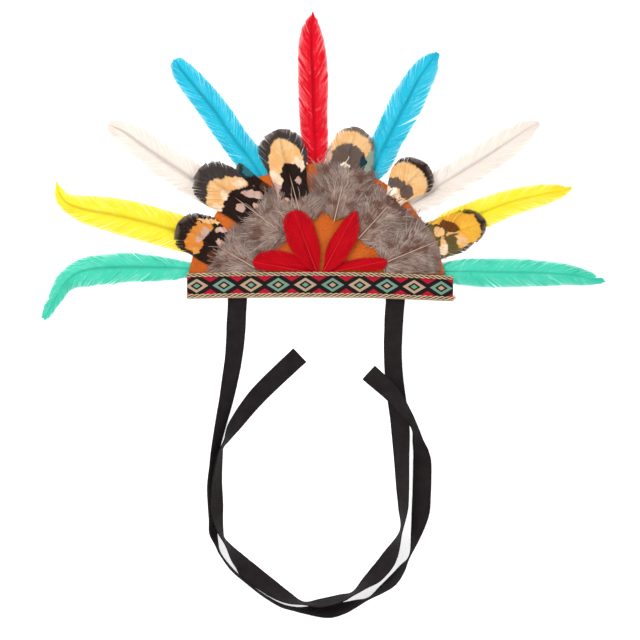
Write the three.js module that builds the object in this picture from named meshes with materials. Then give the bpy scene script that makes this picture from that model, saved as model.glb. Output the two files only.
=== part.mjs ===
// A costume headdress, lying flat on its back. A half round of rust-orange felt carries a fan of
// nine dyed goose feathers behind it, seven pheasant feathers and four small red feathers on its
// front, a woven trim over its straight edge, and two black tape ties.
// Millimetres. X runs along the trim, Y points the way the middle feather points, Z is up.
import * as THREE from "three";

// Driving sizes
const GAP = 0.3; // clearance between pieces that lie on each other
const PANEL_RADIUS = 96;
const PANEL_THICKNESS = 1.6;
const PANEL_EDGE_MARGIN = 1.3; // from the trim's lower edge up to the panel's
const TRIM_TOP = 9.8; // Y of the trim's upper edge, which the front feathers start from
const TRIM_LENGTH = 200;
const TRIM_HEIGHT = 19;
const TRIM_THICKNESS = 1.1;
const TRIM_CORD_WIDTH = 3;
const TRIM_CORD_RISE = 0.9;
const TRIM_CORD_BEVEL = 0.6; // how far the cord's flanks slope in
const TRIM_LIP = 1.4; // how thick the lower selvage is where it turns down over the panel's edge
const TRIM_BULGE_REACH = 27; // half the stretch of trim that rises over the red roots
const TRIM_BULGE_FULL = 0.11; // share of the trim's height down to which it rises in full
const TRIM_BULGE_END = 0.82; // share of its height from which it lies down on the panel
const VANE = 0.5; // thickness of a feather's web
const GOOSE_QUILL_RADIUS = 1.2;
const GOOSE_TIP_RADIUS = 0.4;
const FRONT_QUILL_RADIUS = 0.45;
const FRONT_TIP_RADIUS = 0.28;
const GOOSE_LENGTH = 126; // from the start of the web to the tip
const GOOSE_WIDTH = 24.5;
const GOOSE_BOW = 4; // how high a goose feather arches off the floor
const GOOSE_CUP = 1.2; // how far its edges droop where it arches highest
const PHEASANT_LENGTH = 74;
const PHEASANT_WIDTH = 34;
const PHEASANT_LIFT = 2; // how far a patterned feather's tip curls up
const RED_LENGTH = 51;
const RED_WIDTH = 18;
const RED_LIFT = 1.9; // how far a small red feather's tip stands off the panel
const RED_SPREAD = 2; // how far the red roots lie from the middle of the trim
const LAYER_STEP = 1.25; // from one layer of front feathers to the next
const ROOT_RAMP = 0.16; // share of a front feather over which it climbs to its layer
const LIFT_FROM = 0.45; // share of a patterned feather from which its tip curls up
const LOCK_PINCH = 0.86; // how much of its width a downy web keeps between two locks
const BARE_WEB = 1.6; // a web narrower than this many quill radii is a bare quill
const TIE_WIDTH = 14.5;
const TIE_THICKNESS = 1;
const ROOT_TUCK = 1.5; // how far the red roots go in under the trim
const TANGENT_STEP = 0.05; // share of a row to look back and ahead for a direction

// Heights of the layers, from the floor up
const PANEL_UNDERSIDE = 2 * GOOSE_QUILL_RADIUS + GAP;
const PANEL_TOP = PANEL_UNDERSIDE + PANEL_THICKNESS;
const FRONT_LAYER = PANEL_TOP + GAP + Math.max(FRONT_QUILL_RADIUS, VANE / 2);
const RED_UPPER_LAYER = FRONT_LAYER + VANE + FRONT_QUILL_RADIUS + GAP;
const TRIM_BULGE = RED_UPPER_LAYER + VANE / 2 + FRONT_QUILL_RADIUS + GAP - (PANEL_TOP + GAP);

// Places on the panel. Shares are of PANEL_RADIUS, and heights are above the trim's upper edge.
const PANEL_CENTRE = { x: -0.0115 * TRIM_LENGTH, y: TRIM_TOP - 0.149 * PANEL_RADIUS };
const FAN_CENTRE = { x: -0.0075 * TRIM_LENGTH, y: TRIM_TOP - 0.102 * PANEL_RADIUS };
const QUILL_END = 0.365 * PANEL_RADIUS;
const VANE_START = 0.833 * PANEL_RADIUS;
const TRIM_BOTTOM = TRIM_TOP - TRIM_HEIGHT;

const COLOURS = {
  mint: 0x42d1b4,
  yellow: 0xffe833,
  white: 0xf0e8e1,
  blue: 0x1eb4d7,
  red: 0xe11228,
  deep_red: 0xbe0816,
  pheasant: 0x8c7369,
  felt: 0xbe6020,
  trim: 0x7fa591,
  tape: 0x262122,
};

const ROUGHNESS = { feather: 0.7, felt: 0.95, trim: 0.85, tape: 0.8 };

const headdress = new THREE.Group();

function addPiece(name, geometry, colour, roughness) {
  const material = new THREE.MeshStandardMaterial({ color: colour, roughness, metalness: 0 });
  const mesh = new THREE.Mesh(geometry, material);
  mesh.name = name;
  headdress.add(mesh);
  return mesh;
}

// Closes a row of rings, each with the same number of points, into one solid.
function loft(rings) {
  const sides = rings[0].length;
  const positions = rings.flat().flatMap((point) => [point.x, point.y, point.z]);
  const faces = [];
  for (let ring = 0; ring + 1 < rings.length; ring += 1) {
    for (let side = 0; side < sides; side += 1) {
      const next = (side + 1) % sides;
      const a = ring * sides + side;
      const b = ring * sides + next;
      faces.push(a, b, b + sides, a, b + sides, a + sides);
    }
  }
  const last = (rings.length - 1) * sides;
  for (let side = 1; side + 1 < sides; side += 1) {
    faces.push(0, side + 1, side);
    faces.push(last, last + side, last + side + 1);
  }
  const geometry = new THREE.BufferGeometry();
  geometry.setAttribute("position", new THREE.Float32BufferAttribute(positions, 3));
  geometry.setIndex(faces);
  geometry.computeVertexNormals();
  return geometry;
}

// A smooth value between the entries of a list. place is 0 at the first and 1 a step later.
function between(list, place) {
  const step = Math.min(Math.floor(place), list.length - 2);
  const share = place - step;
  const before = list[Math.max(step - 1, 0)];
  const start = list[step];
  const end = list[step + 1];
  const after = list[Math.min(step + 2, list.length - 1)];
  const slopeStart = (end - before) / 2;
  const slopeEnd = (after - start) / 2;
  const square = share * share;
  const cube = square * share;
  return (
    start * (2 * cube - 3 * square + 1) +
    slopeStart * (cube - 2 * square + share) +
    end * (3 * square - 2 * cube) +
    slopeEnd * (cube - square)
  );
}

function smoothStep(value) {
  const share = THREE.MathUtils.clamp(value, 0, 1);
  return share * share * (3 - 2 * share);
}

// One cross-section of a feather, eight points: the web's two edges, and the quill's hump
// above and below it. Where the web is no wider than the quill, it is a round quill.
function featherSection({ centre, across, left, right, radius, droop, keel }) {
  const web = VANE / 2;
  const bare = Math.max(left, right) < radius * BARE_WEB;
  const corner = Math.SQRT1_2 * radius;
  const profile = bare
    ? [
        [radius, 0], [corner, corner], [0, radius], [-corner, corner],
        [-radius, 0], [-corner, -corner], [0, -radius], [corner, -corner],
      ]
    : [
        [left, web - droop], [radius, web], [0, web + radius], [-radius, web],
        [-right, web - droop], [-right, -web - droop], [0, -Math.max(web, keel)], [left, -web - droop],
      ];
  return profile.map(
    ([side, up]) =>
      new THREE.Vector3(centre.x + across.x * side, centre.y + across.y * side, centre.z + up),
  );
}

// A feather from its root outwards. The rows give, at each station, how far the quill sways to
// the left of the heading (share of length) and how wide the web is to each side (share of width).
function featherGeometry({ root, heading, length, width, stations, sway, left, right, height,
  radiusAt, droopAt, keelAt, bareFrom, locks, steps }) {
  const angle = THREE.MathUtils.degToRad(heading);
  const forward = new THREE.Vector2(Math.cos(angle), Math.sin(angle));
  const leftward = new THREE.Vector2(-forward.y, forward.x);
  const spot = (place) => {
    const along = between(stations, place);
    const aside = between(sway, place) * length;
    const point = new THREE.Vector2(root.x, root.y);
    point.addScaledVector(forward, along * length).addScaledVector(leftward, aside);
    return { along, x: point.x, y: point.y };
  };
  const rings = [];
  if (bareFrom !== undefined) {
    const start = spot(0);
    const inner = new THREE.Vector2(root.x, root.y).addScaledVector(forward, -bareFrom);
    const fan = new THREE.Vector2(start.x, start.y).sub(inner).normalize();
    const across = { x: -fan.y, y: fan.x };
    const radius = radiusAt(0);
    const centre = new THREE.Vector3(inner.x, inner.y, height(0));
    rings.push(featherSection({ centre, across, left: 0, right: 0, radius, droop: 0, keel: radius }));
  }
  const last = stations.length - 1;
  const count = last * steps;
  for (let index = 0; index <= count; index += 1) {
    const place = index / steps;
    const here = spot(place);
    const back = spot(Math.max(place - TANGENT_STEP, 0));
    const ahead = spot(Math.min(place + TANGENT_STEP, last));
    const run = new THREE.Vector2(ahead.x - back.x, ahead.y - back.y).normalize();
    const ruffle = here.along < locks && index % 2 === 1 ? LOCK_PINCH : 1;
    const radius = radiusAt(here.along);
    rings.push(
      featherSection({
        centre: new THREE.Vector3(here.x, here.y, height(here.along)),
        across: { x: -run.y, y: run.x },
        left: Math.max(between(left, place) * width * ruffle, VANE / 2),
        right: Math.max(between(right, place) * width * ruffle, VANE / 2),
        radius: index === count ? VANE / 2 : radius,
        droop: droopAt(here.along),
        keel: keelAt(here.along),
      }),
    );
  }
  return loft(rings);
}

// The half round of felt, cut by hand, so its edge wanders in and out a little.
const PANEL_FACETS = 41;
const PANEL_CUT = [
  // heading in degrees, share of the radius
  { heading: 8, share: 1.012 },
  { heading: 26, share: 0.992 },
  { heading: 46, share: 0.998 },
  { heading: 60, share: 1.002 },
  { heading: 88, share: 1.005 },
  { heading: 109, share: 0.984 },
  { heading: 117, share: 1.005 },
  { heading: 138, share: 1.011 },
  { heading: 144, share: 0.998 },
  { heading: 165, share: 1.014 },
  { heading: 172, share: 1.018 },
];

function cutShare(heading) {
  const after = Math.max(PANEL_CUT.findIndex((row) => row.heading >= heading), 1);
  const from = PANEL_CUT[after - 1];
  const to = PANEL_CUT[after];
  const share = (heading - from.heading) / (to.heading - from.heading);
  return from.share + (to.share - from.share) * share;
}

// The outline starts in the middle of the straight edge and runs round against the clock.
function panelGeometry() {
  const bottom = TRIM_BOTTOM + PANEL_EDGE_MARGIN;
  const first = PANEL_CUT[0].heading;
  const last = PANEL_CUT[PANEL_CUT.length - 1].heading;
  const rim = [];
  for (let facet = 0; facet <= PANEL_FACETS; facet += 1) {
    const heading = first + ((last - first) * facet) / PANEL_FACETS;
    const radius = PANEL_RADIUS * cutShare(heading);
    const angle = THREE.MathUtils.degToRad(heading);
    rim.push({
      x: PANEL_CENTRE.x + radius * Math.cos(angle),
      y: PANEL_CENTRE.y + radius * Math.sin(angle),
    });
  }
  const outline = [
    { x: PANEL_CENTRE.x, y: bottom },
    { x: rim[0].x, y: bottom },
    ...rim,
    { x: rim[PANEL_FACETS].x, y: bottom },
  ];
  const faces = [PANEL_UNDERSIDE, PANEL_TOP];
  return loft(faces.map((z) => outline.map(({ x, y }) => new THREE.Vector3(x, y, z))));
}

// The trim sags a little towards its right end. Each row is a station along it.
const TRIM_ROWS = [
  // along and sag are shares of the trim's length
  { along: -0.5, sag: -0.005 },
  { along: -0.35, sag: -0.002 },
  { along: -0.1, sag: 0 },
  { along: 0.1, sag: -0.001 },
  { along: 0.25, sag: -0.004 },
  { along: 0.5, sag: -0.0145 },
];

function trimGeometry() {
  const steps = 5;
  const last = TRIM_ROWS.length - 1;
  const along = TRIM_ROWS.map((row) => row.along);
  const sag = TRIM_ROWS.map((row) => row.sag);
  const cord = TRIM_THICKNESS + TRIM_CORD_RISE;
  const lipDepth = PANEL_THICKNESS + GAP;
  const lipInner = TRIM_HEIGHT - PANEL_EDGE_MARGIN + GAP;
  const lipOuter = lipInner + TRIM_LIP;
  // down is measured from the trim's upper edge, up from its underside
  const section = [
    { down: 0, up: 0 },
    { down: 0, up: TRIM_THICKNESS },
    { down: TRIM_CORD_BEVEL, up: cord },
    { down: TRIM_CORD_WIDTH - TRIM_CORD_BEVEL, up: cord },
    { down: TRIM_CORD_WIDTH, up: TRIM_THICKNESS },
    { down: TRIM_HEIGHT - TRIM_CORD_WIDTH, up: TRIM_THICKNESS },
    { down: TRIM_HEIGHT - TRIM_CORD_WIDTH + TRIM_CORD_BEVEL, up: cord },
    { down: TRIM_HEIGHT - TRIM_CORD_BEVEL, up: cord },
    { down: lipOuter, up: TRIM_THICKNESS },
    { down: lipOuter, up: -lipDepth },
    { down: lipInner, up: -lipDepth },
    { down: lipInner, up: 0 },
  ];
  const rings = [];
  for (let index = 0; index <= last * steps; index += 1) {
    const place = index / steps;
    const x = between(along, place) * TRIM_LENGTH;
    const top = TRIM_TOP + between(sag, place) * TRIM_LENGTH;
    const reach = Math.min(Math.abs(x) / TRIM_BULGE_REACH, 1);
    const bulge = TRIM_BULGE * (0.5 + 0.5 * Math.cos(Math.PI * reach));
    // The lower half stays down on the panel; only the upper edge rises over the roots.
    rings.push(
      section.map(({ down, up }) => {
        const held = (TRIM_BULGE_END - down / TRIM_HEIGHT) / (TRIM_BULGE_END - TRIM_BULGE_FULL);
        const rise = bulge * smoothStep(held);
        return new THREE.Vector3(x, top - down, PANEL_TOP + GAP + up + rise);
      }),
    );
  }
  return loft(rings);
}

// Goose feathers, from the left foot of the panel round to the right. heading is where each
// points, in degrees from +X; length, width and bow are shares of GOOSE_LENGTH, GOOSE_WIDTH and
// GOOSE_BOW. Every list has one value for each station.
const GOOSE_STATIONS = [0, 0.18, 0.38, 0.6, 0.78, 0.89, 0.95, 1];
const GOOSE_ARCH = [0, 0.05, 0.35, 0.9, 1, 0.75, 0.4, 0];
const GOOSE = [
  {
    name: "feather_mint_left", colour: COLOURS.mint,
    heading: 173, length: 0.976, width: 0.98, bow: 0.8,
    sway: [0, 0.003, 0.021, 0.048, 0.088, 0.172, 0.3, 0.42],
    left: [0.1, 0.3, 0.44, 0.5, 0.53, 0.31, 0.19, 0],
    right: [0.1, 0.27, 0.4, 0.43, 0.4, 0.33, 0.25, 0],
  },
  {
    name: "feather_yellow_left", colour: COLOURS.yellow,
    heading: 157, length: 1.056, width: 1.14, bow: 1,
    sway: [0.016, 0.031, 0.05, 0.086, 0.125, 0.128, 0.1, 0.04],
    left: [0.1, 0.47, 0.51, 0.475, 0.36, 0.24, 0.16, 0],
    right: [0.1, 0.45, 0.5, 0.485, 0.41, 0.29, 0.19, 0],
  },
  {
    name: "feather_white_left", colour: COLOURS.white,
    heading: 144, length: 0.96, width: 1.06, bow: 1.125,
    sway: [-0.083, -0.087, -0.072, -0.062, -0.062, -0.06, -0.05, -0.039],
    left: [0.1, 0.43, 0.49, 0.49, 0.42, 0.34, 0.25, 0],
    right: [0.1, 0.43, 0.49, 0.49, 0.42, 0.34, 0.25, 0],
  },
  {
    name: "feather_blue_left", colour: COLOURS.blue,
    heading: 122, length: 0.976, width: 0.9, bow: 1,
    sway: [-0.057, -0.058, -0.038, -0.027, -0.006, 0.008, 0.011, 0.009],
    left: [0.1, 0.47, 0.5, 0.5, 0.46, 0.39, 0.29, 0],
    right: [0.1, 0.47, 0.5, 0.5, 0.46, 0.39, 0.29, 0],
  },
  {
    name: "feather_red_centre", colour: COLOURS.red,
    heading: 91, length: 1.008, width: 0.92, bow: 1.25,
    sway: [0, 0, 0.006, 0.008, 0.013, 0.013, 0.005, 0.002],
    left: [0.1, 0.42, 0.5, 0.5, 0.45, 0.34, 0.19, 0],
    right: [0.1, 0.4, 0.46, 0.5, 0.45, 0.34, 0.19, 0],
  },
  {
    name: "feather_blue_right", colour: COLOURS.blue,
    heading: 62, length: 0.937, width: 1.04, bow: 1,
    sway: [0.034, 0.037, 0.039, 0.044, 0.046, 0.038, 0.03, 0.01],
    left: [0.1, 0.44, 0.48, 0.5, 0.43, 0.34, 0.22, 0],
    right: [0.1, 0.42, 0.43, 0.49, 0.43, 0.35, 0.22, 0],
  },
  {
    name: "feather_white_right", colour: COLOURS.white,
    heading: 36, length: 1.016, width: 0.996, bow: 1.125,
    sway: [0.065, 0.06, 0.043, 0.026, 0.02, 0.017, 0.016, 0.002],
    left: [0.1, 0.46, 0.49, 0.5, 0.47, 0.36, 0.25, 0],
    right: [0.1, 0.46, 0.49, 0.5, 0.47, 0.36, 0.25, 0],
  },
  {
    name: "feather_yellow_right", colour: COLOURS.yellow,
    heading: 21, length: 1, width: 0.963, bow: 1,
    sway: [0.016, 0.036, 0.046, 0.047, 0.027, 0.01, 0, -0.002],
    left: [0.1, 0.46, 0.5, 0.44, 0.37, 0.28, 0.17, 0],
    right: [0.1, 0.46, 0.5, 0.44, 0.37, 0.28, 0.17, 0],
  },
  {
    name: "feather_mint_right", colour: COLOURS.mint,
    heading: 3, length: 1.095, width: 0.95, bow: 0.8,
    sway: [0.032, 0.03, 0.016, 0.002, -0.016, -0.038, -0.053, -0.066],
    left: [0.1, 0.4, 0.48, 0.45, 0.35, 0.26, 0.16, 0],
    right: [0.1, 0.4, 0.48, 0.44, 0.35, 0.26, 0.16, 0],
  },
];

// How far a feather has arched at a share of its length, from 0 to 1.
function archAt(along) {
  const after = Math.max(GOOSE_STATIONS.findIndex((station) => station >= along), 1);
  const start = GOOSE_STATIONS[after - 1];
  return between(GOOSE_ARCH, after - 1 + (along - start) / (GOOSE_STATIONS[after] - start));
}

function addGooseFeather(feather) {
  const angle = THREE.MathUtils.degToRad(feather.heading);
  const root = {
    x: FAN_CENTRE.x + VANE_START * Math.cos(angle),
    y: FAN_CENTRE.y + VANE_START * Math.sin(angle),
  };
  const radiusAt = (along) =>
    THREE.MathUtils.lerp(GOOSE_QUILL_RADIUS, GOOSE_TIP_RADIUS, THREE.MathUtils.clamp(along, 0, 1));
  const geometry = featherGeometry({
    ...feather,
    length: feather.length * GOOSE_LENGTH,
    width: feather.width * GOOSE_WIDTH,
    root,
    stations: GOOSE_STATIONS,
    height: (along) => radiusAt(along) + feather.bow * GOOSE_BOW * archAt(along),
    radiusAt,
    droopAt: (along) => GOOSE_CUP * archAt(along),
    keelAt: radiusAt,
    bareFrom: VANE_START - QUILL_END,
    locks: 0,
    steps: 3,
  });
  addPiece(feather.name, geometry, feather.colour, ROUGHNESS.feather);
}

// Pheasant feathers on the front. x and y place the root, as shares of the panel's radius from
// the trim's upper edge; layer says how many others may lie under the feather; length, width and
// lift are shares of their named sizes. The lower half is down, whose locks make a ragged edge.
const PHEASANT_STATIONS = [0, 0.1, 0.25, 0.4, 0.55, 0.7, 0.83, 0.92, 0.97, 1];
const PHEASANT_DOWN = 0.5;
const PHEASANTS = [
  {
    name: "pheasant_left_lower", x: -0.513, y: 0.032, layer: 0,
    heading: 150, length: 0.908, width: 0.956, lift: 0.5,
    left: [0.03, 0.18, 0.34, 0.45, 0.49, 0.48, 0.49, 0.37, 0.23, 0],
    right: [0.03, 0.18, 0.28, 0.38, 0.47, 0.53, 0.45, 0.3, 0.17, 0],
  },
  {
    name: "pheasant_left_middle", x: -0.355, y: 0.348, layer: 1,
    heading: 143, length: 0.977, width: 1.015, lift: 0.5,
    left: [0.03, 0.26, 0.39, 0.42, 0.45, 0.5, 0.5, 0.41, 0.26, 0],
    right: [0.03, 0.26, 0.39, 0.45, 0.44, 0.5, 0.44, 0.29, 0.16, 0],
  },
  {
    name: "pheasant_left_inner", x: -0.236, y: 0.372, layer: 0,
    heading: 130, length: 0.815, width: 0.706, lift: 0,
    left: [0.04, 0.13, 0.27, 0.43, 0.52, 0.48, 0.39, 0.29, 0.17, 0],
    right: [0.04, 0.21, 0.35, 0.37, 0.29, 0.19, 0.13, 0.08, 0.06, 0],
  },
  {
    name: "pheasant_left_top", x: -0.134, y: 0.372, layer: 1,
    heading: 105, length: 1.003, width: 1.03, lift: 0.5,
    left: [0.03, 0.26, 0.4, 0.37, 0.41, 0.49, 0.52, 0.39, 0.26, 0],
    right: [0.03, 0.24, 0.31, 0.31, 0.39, 0.49, 0.45, 0.35, 0.21, 0],
  },
  {
    name: "pheasant_right_top", x: 0.11, y: 0.395, layer: 0,
    heading: 76.5, length: 0.991, width: 1.088, lift: 1,
    left: [0.03, 0.24, 0.38, 0.43, 0.45, 0.47, 0.39, 0.29, 0.18, 0],
    right: [0.03, 0.23, 0.39, 0.5, 0.54, 0.5, 0.44, 0.34, 0.2, 0],
  },
  {
    name: "pheasant_right_middle", x: 0.3, y: 0.26, layer: 0,
    heading: 47.5, length: 1.036, width: 1.06, lift: 1.25,
    left: [0.03, 0.21, 0.33, 0.26, 0.22, 0.44, 0.49, 0.39, 0.26, 0],
    right: [0.03, 0.21, 0.28, 0.25, 0.2, 0.32, 0.43, 0.38, 0.27, 0],
  },
  {
    name: "pheasant_right_lower", x: 0.529, y: 0.079, layer: 0,
    heading: 22.5, length: 1.084, width: 0.94, lift: 1,
    left: [0.03, 0.27, 0.5, 0.53, 0.5, 0.47, 0.45, 0.39, 0.25, 0],
    right: [0.03, 0.19, 0.33, 0.42, 0.44, 0.47, 0.38, 0.26, 0.16, 0],
  },
];

function addFrontFeather(feather, root, layerRoot, rise, options) {
  const radiusAt = (along) =>
    THREE.MathUtils.lerp(FRONT_QUILL_RADIUS, FRONT_TIP_RADIUS, THREE.MathUtils.clamp(along, 0, 1));
  const geometry = featherGeometry({
    ...feather,
    root,
    sway: options.stations.map(() => 0),
    height: (along) => layerRoot + rise(along),
    radiusAt,
    droopAt: () => 0,
    keelAt: () => 0,
    ...options,
  });
  addPiece(feather.name, geometry, feather.colour, ROUGHNESS.feather);
}

function addPheasantFeather(feather) {
  const root = { x: feather.x * PANEL_RADIUS, y: TRIM_TOP + feather.y * PANEL_RADIUS };
  const climb = feather.layer * LAYER_STEP;
  const rise = (along) =>
    climb * smoothStep(along / ROOT_RAMP) +
    feather.lift * PHEASANT_LIFT * smoothStep((along - LIFT_FROM) / (1 - LIFT_FROM));
  addFrontFeather({ ...feather, colour: COLOURS.pheasant }, root, FRONT_LAYER, rise, {
    length: feather.length * PHEASANT_LENGTH,
    width: feather.width * PHEASANT_WIDTH,
    stations: PHEASANT_STATIONS,
    locks: PHEASANT_DOWN,
    steps: 2,
  });
}

// Small red feathers. x, length and width are shares of RED_SPREAD, RED_LENGTH and RED_WIDTH;
// upper ones lie over the lower ones.
const RED_STATIONS = [0, 0.14, 0.3, 0.46, 0.62, 0.78, 0.9, 0.96, 1];
const REDS = [
  {
    name: "red_small_left_low", x: -0.75, upper: false,
    heading: 169.6, length: 0.988, width: 0.889,
    left: [0.03, 0.02, 0.04, 0.13, 0.22, 0.3, 0.32, 0.22, 0],
    right: [0.03, 0.29, 0.56, 0.74, 0.77, 0.69, 0.51, 0.31, 0],
  },
  {
    name: "red_small_left_up", x: -1, upper: true,
    heading: 110.7, length: 1, width: 1.278,
    left: [0.03, 0.24, 0.42, 0.52, 0.57, 0.52, 0.46, 0.37, 0.15],
    right: [0.03, 0.19, 0.36, 0.43, 0.45, 0.46, 0.35, 0.23, 0.04],
  },
  {
    name: "red_small_right_up", x: 0.8, upper: true,
    heading: 62, length: 1.059, width: 1,
    left: [0.03, 0.13, 0.32, 0.38, 0.34, 0.28, 0.17, 0.09, 0],
    right: [0.03, 0.36, 0.58, 0.61, 0.64, 0.54, 0.33, 0.18, 0],
  },
  {
    name: "red_small_right_low", x: 1.2, upper: false,
    heading: 11.5, length: 0.971, width: 0.667,
    left: [0.04, 0.26, 0.42, 0.49, 0.49, 0.4, 0.28, 0.17, 0],
    right: [0.04, 0.04, 0.06, 0.16, 0.32, 0.46, 0.47, 0.33, 0],
  },
];

function addRedFeather(feather) {
  const root = { x: feather.x * RED_SPREAD, y: TRIM_TOP - ROOT_TUCK };
  const layerRoot = feather.upper ? RED_UPPER_LAYER : FRONT_LAYER;
  const rise = (along) => RED_LIFT * along;
  addFrontFeather({ ...feather, colour: COLOURS.deep_red }, root, layerRoot, rise, {
    length: feather.length * RED_LENGTH,
    width: feather.width * RED_WIDTH,
    stations: RED_STATIONS,
    locks: 0,
    steps: 2,
  });
}

// The ties. Each row is a point on the tape's middle line: x and y, how far the tape is rolled
// about its run in degrees (0 lies flat, 90 stands on edge), and what its lower edge clears the
// floor by. The first two rows are the end under the panel.
const TIE_UNDER_PANEL = PANEL_UNDERSIDE - GAP - TIE_THICKNESS;
const TIE_LEFT_ROUTE = [
  [-62.4, 2.5, 0, TIE_UNDER_PANEL],
  [-62.4, -9.8, 0, TIE_UNDER_PANEL],
  [-63.3, -26.5, -4, 0.3],
  [-64, -41.7, -19, 0],
  [-65.5, -56.8, -29, 0],
  [-68, -72, -37, 0],
  [-70.8, -87.1, -47, 0],
  [-73.9, -100.8, -55, 0],
  [-79, -125, -69, 0],
  [-80.6, -136, -73, 0],
  [-83, -151.5, -76, 0],
  [-83.5, -168.2, -86, 0],
  [-82.2, -178.8, -75, 0],
  [-81.1, -185.6, -65, 0],
  [-78.3, -195.5, -77, 0],
  [-75.6, -203, -85, 0],
  [-65.9, -217.4, -81, 0],
  [-55.3, -225.8, -80, 0],
  [-43.9, -232.6, -76, 0],
  [-28.8, -241.7, -72, 0],
  [-17.4, -245.5, -72, 0],
  [-6, -246.8, -55, 0],
  [5.3, -246.2, -40, 0],
  [19.7, -243.2, -51, 0],
  [36.4, -237.9, -79, 0],
  [47, -229.6, -69, 0],
  [54.5, -222.7, -59, 0],
  [61.4, -215.5, -62, 0],
  [67.9, -206.1, -84, 0],
  [74, -184.1, -47, 0],
  [76.7, -162.9, -14, 0],
  [77.3, -137.9, -20, 0],
  [76.4, -127.3, -36, 0],
  [73.9, -118.2, -58, 1.6],
  [71.2, -107.6, -73, 5],
  [64.1, -95.5, -58, 6.4],
  [53, -81.1, -33, 4.2],
  [36.7, -66.1, -10, 0],
];
const TIE_RIGHT_ROUTE = [
  [57.1, 2.5, 0, TIE_UNDER_PANEL],
  [57.1, -9.8, 0, TIE_UNDER_PANEL],
  [56.1, -22.7, 6, 0.4],
  [55.5, -34.1, 18, 0],
  [55, -49.2, 24, 0],
  [55.8, -67.4, 22, 0],
  [58.3, -88.6, 18, 0],
  [60.6, -106.8, 18, 0],
  [61.5, -130.3, 40, 0],
  [62.3, -153.8, 52, 0],
  [62.7, -170.5, 63, 0],
  [61.2, -186.4, 80, 0],
  [53.8, -205.3, 47, 0],
  [43.2, -218.9, 33, 0],
  [28, -232.6, 73, 0],
  [15.2, -237.9, 69, 0],
  [0, -241.7, 62, 0],
  [-13.6, -240.9, 78, 0],
  [-26.5, -235.2, 51, 0],
  [-49.5, -220.5, 24, 0],
  [-63.2, -207.6, 50, 0],
  [-74.6, -189.4, 64, 0],
  [-78, -168.9, 52, 0],
  [-77.6, -147.7, 64, 0],
  [-75.2, -128, 80, 0],
  [-73.9, -122.7, 85, 0],
  [-70, -116.4, 76, 0],
  [-63.3, -104.5, 47, 0],
  [-45.7, -82.2, 22, 0],
  [-15.2, -53, 10, 0],
];

function tapeGeometry(route) {
  const steps = 2;
  const [xs, ys, rolls, clears] = [0, 1, 2, 3].map((column) => route.map((row) => row[column]));
  const last = route.length - 1;
  const rings = [];
  for (let index = 0; index <= last * steps; index += 1) {
    const place = index / steps;
    const back = Math.max(place - TANGENT_STEP, 0);
    const ahead = Math.min(place + TANGENT_STEP, last);
    const run = new THREE.Vector2(
      between(xs, ahead) - between(xs, back),
      between(ys, ahead) - between(ys, back),
    ).normalize();
    const roll = THREE.MathUtils.degToRad(between(rolls, place));
    const across = new THREE.Vector3(-run.y * Math.cos(roll), run.x * Math.cos(roll), Math.sin(roll));
    const face = new THREE.Vector3(run.y * Math.sin(roll), -run.x * Math.sin(roll), Math.cos(roll));
    const halfWidth = TIE_WIDTH / 2;
    const halfThickness = TIE_THICKNESS / 2;
    const clear = Math.max(between(clears, place), 0);
    const height = halfWidth * Math.abs(across.z) + halfThickness * Math.abs(face.z) + clear;
    const centre = new THREE.Vector3(between(xs, place), between(ys, place), height);
    const corner = (side, up) =>
      centre.clone().addScaledVector(across, side * halfWidth).addScaledVector(face, up * halfThickness);
    rings.push([corner(1, -1), corner(1, 1), corner(-1, 1), corner(-1, -1)]);
  }
  return loft(rings);
}

addPiece("base_panel", panelGeometry(), COLOURS.felt, ROUGHNESS.felt);
addPiece("trim_band", trimGeometry(), COLOURS.trim, ROUGHNESS.trim);
GOOSE.forEach(addGooseFeather);
PHEASANTS.forEach(addPheasantFeather);
REDS.forEach(addRedFeather);

// The origin goes on the floor, below the middle of everything but the ties.
const bounds = new THREE.Box3().setFromObject(headdress);
const middle = bounds.getCenter(new THREE.Vector3());
addPiece("tie_left", tapeGeometry(TIE_LEFT_ROUTE), COLOURS.tape, ROUGHNESS.tape);
addPiece("tie_right", tapeGeometry(TIE_RIGHT_ROUTE), COLOURS.tape, ROUGHNESS.tape);
headdress.position.set(-middle.x, -middle.y, -bounds.min.z);

export default headdress;
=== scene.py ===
# %% [markdown]
# # A feathered headdress, lying flat
# The headdress is a half round of felt with a woven trim, a fan of dyed goose feathers behind it,
# patterned pheasant feathers and small red ones on its front, and two black tape ties. We start
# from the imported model, which says where every piece lies, and give each soft piece its real form.

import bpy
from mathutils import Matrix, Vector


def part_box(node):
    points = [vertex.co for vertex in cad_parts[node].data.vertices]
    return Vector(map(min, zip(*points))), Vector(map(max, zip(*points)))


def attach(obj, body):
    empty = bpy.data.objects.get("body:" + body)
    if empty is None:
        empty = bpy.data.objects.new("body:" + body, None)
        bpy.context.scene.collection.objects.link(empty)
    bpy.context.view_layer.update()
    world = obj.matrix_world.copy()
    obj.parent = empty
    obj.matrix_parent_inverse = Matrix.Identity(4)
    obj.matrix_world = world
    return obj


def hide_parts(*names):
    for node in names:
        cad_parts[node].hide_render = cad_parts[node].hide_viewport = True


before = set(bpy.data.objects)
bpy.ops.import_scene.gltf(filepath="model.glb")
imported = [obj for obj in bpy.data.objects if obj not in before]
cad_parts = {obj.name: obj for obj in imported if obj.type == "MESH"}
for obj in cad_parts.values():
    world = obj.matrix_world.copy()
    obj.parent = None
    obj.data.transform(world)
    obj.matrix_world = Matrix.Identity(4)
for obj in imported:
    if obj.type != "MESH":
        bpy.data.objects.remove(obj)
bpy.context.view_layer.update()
print(len(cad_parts), "pieces in the packed model")

import math

import bpy
import numpy as np

# %% [markdown]
# ## Where things are
# We work in millimetres, with the trim's upper edge near Y 0, because the tables are easier to
# read that way. Two numbers taken from the frame move those millimetres to the model's place.

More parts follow.
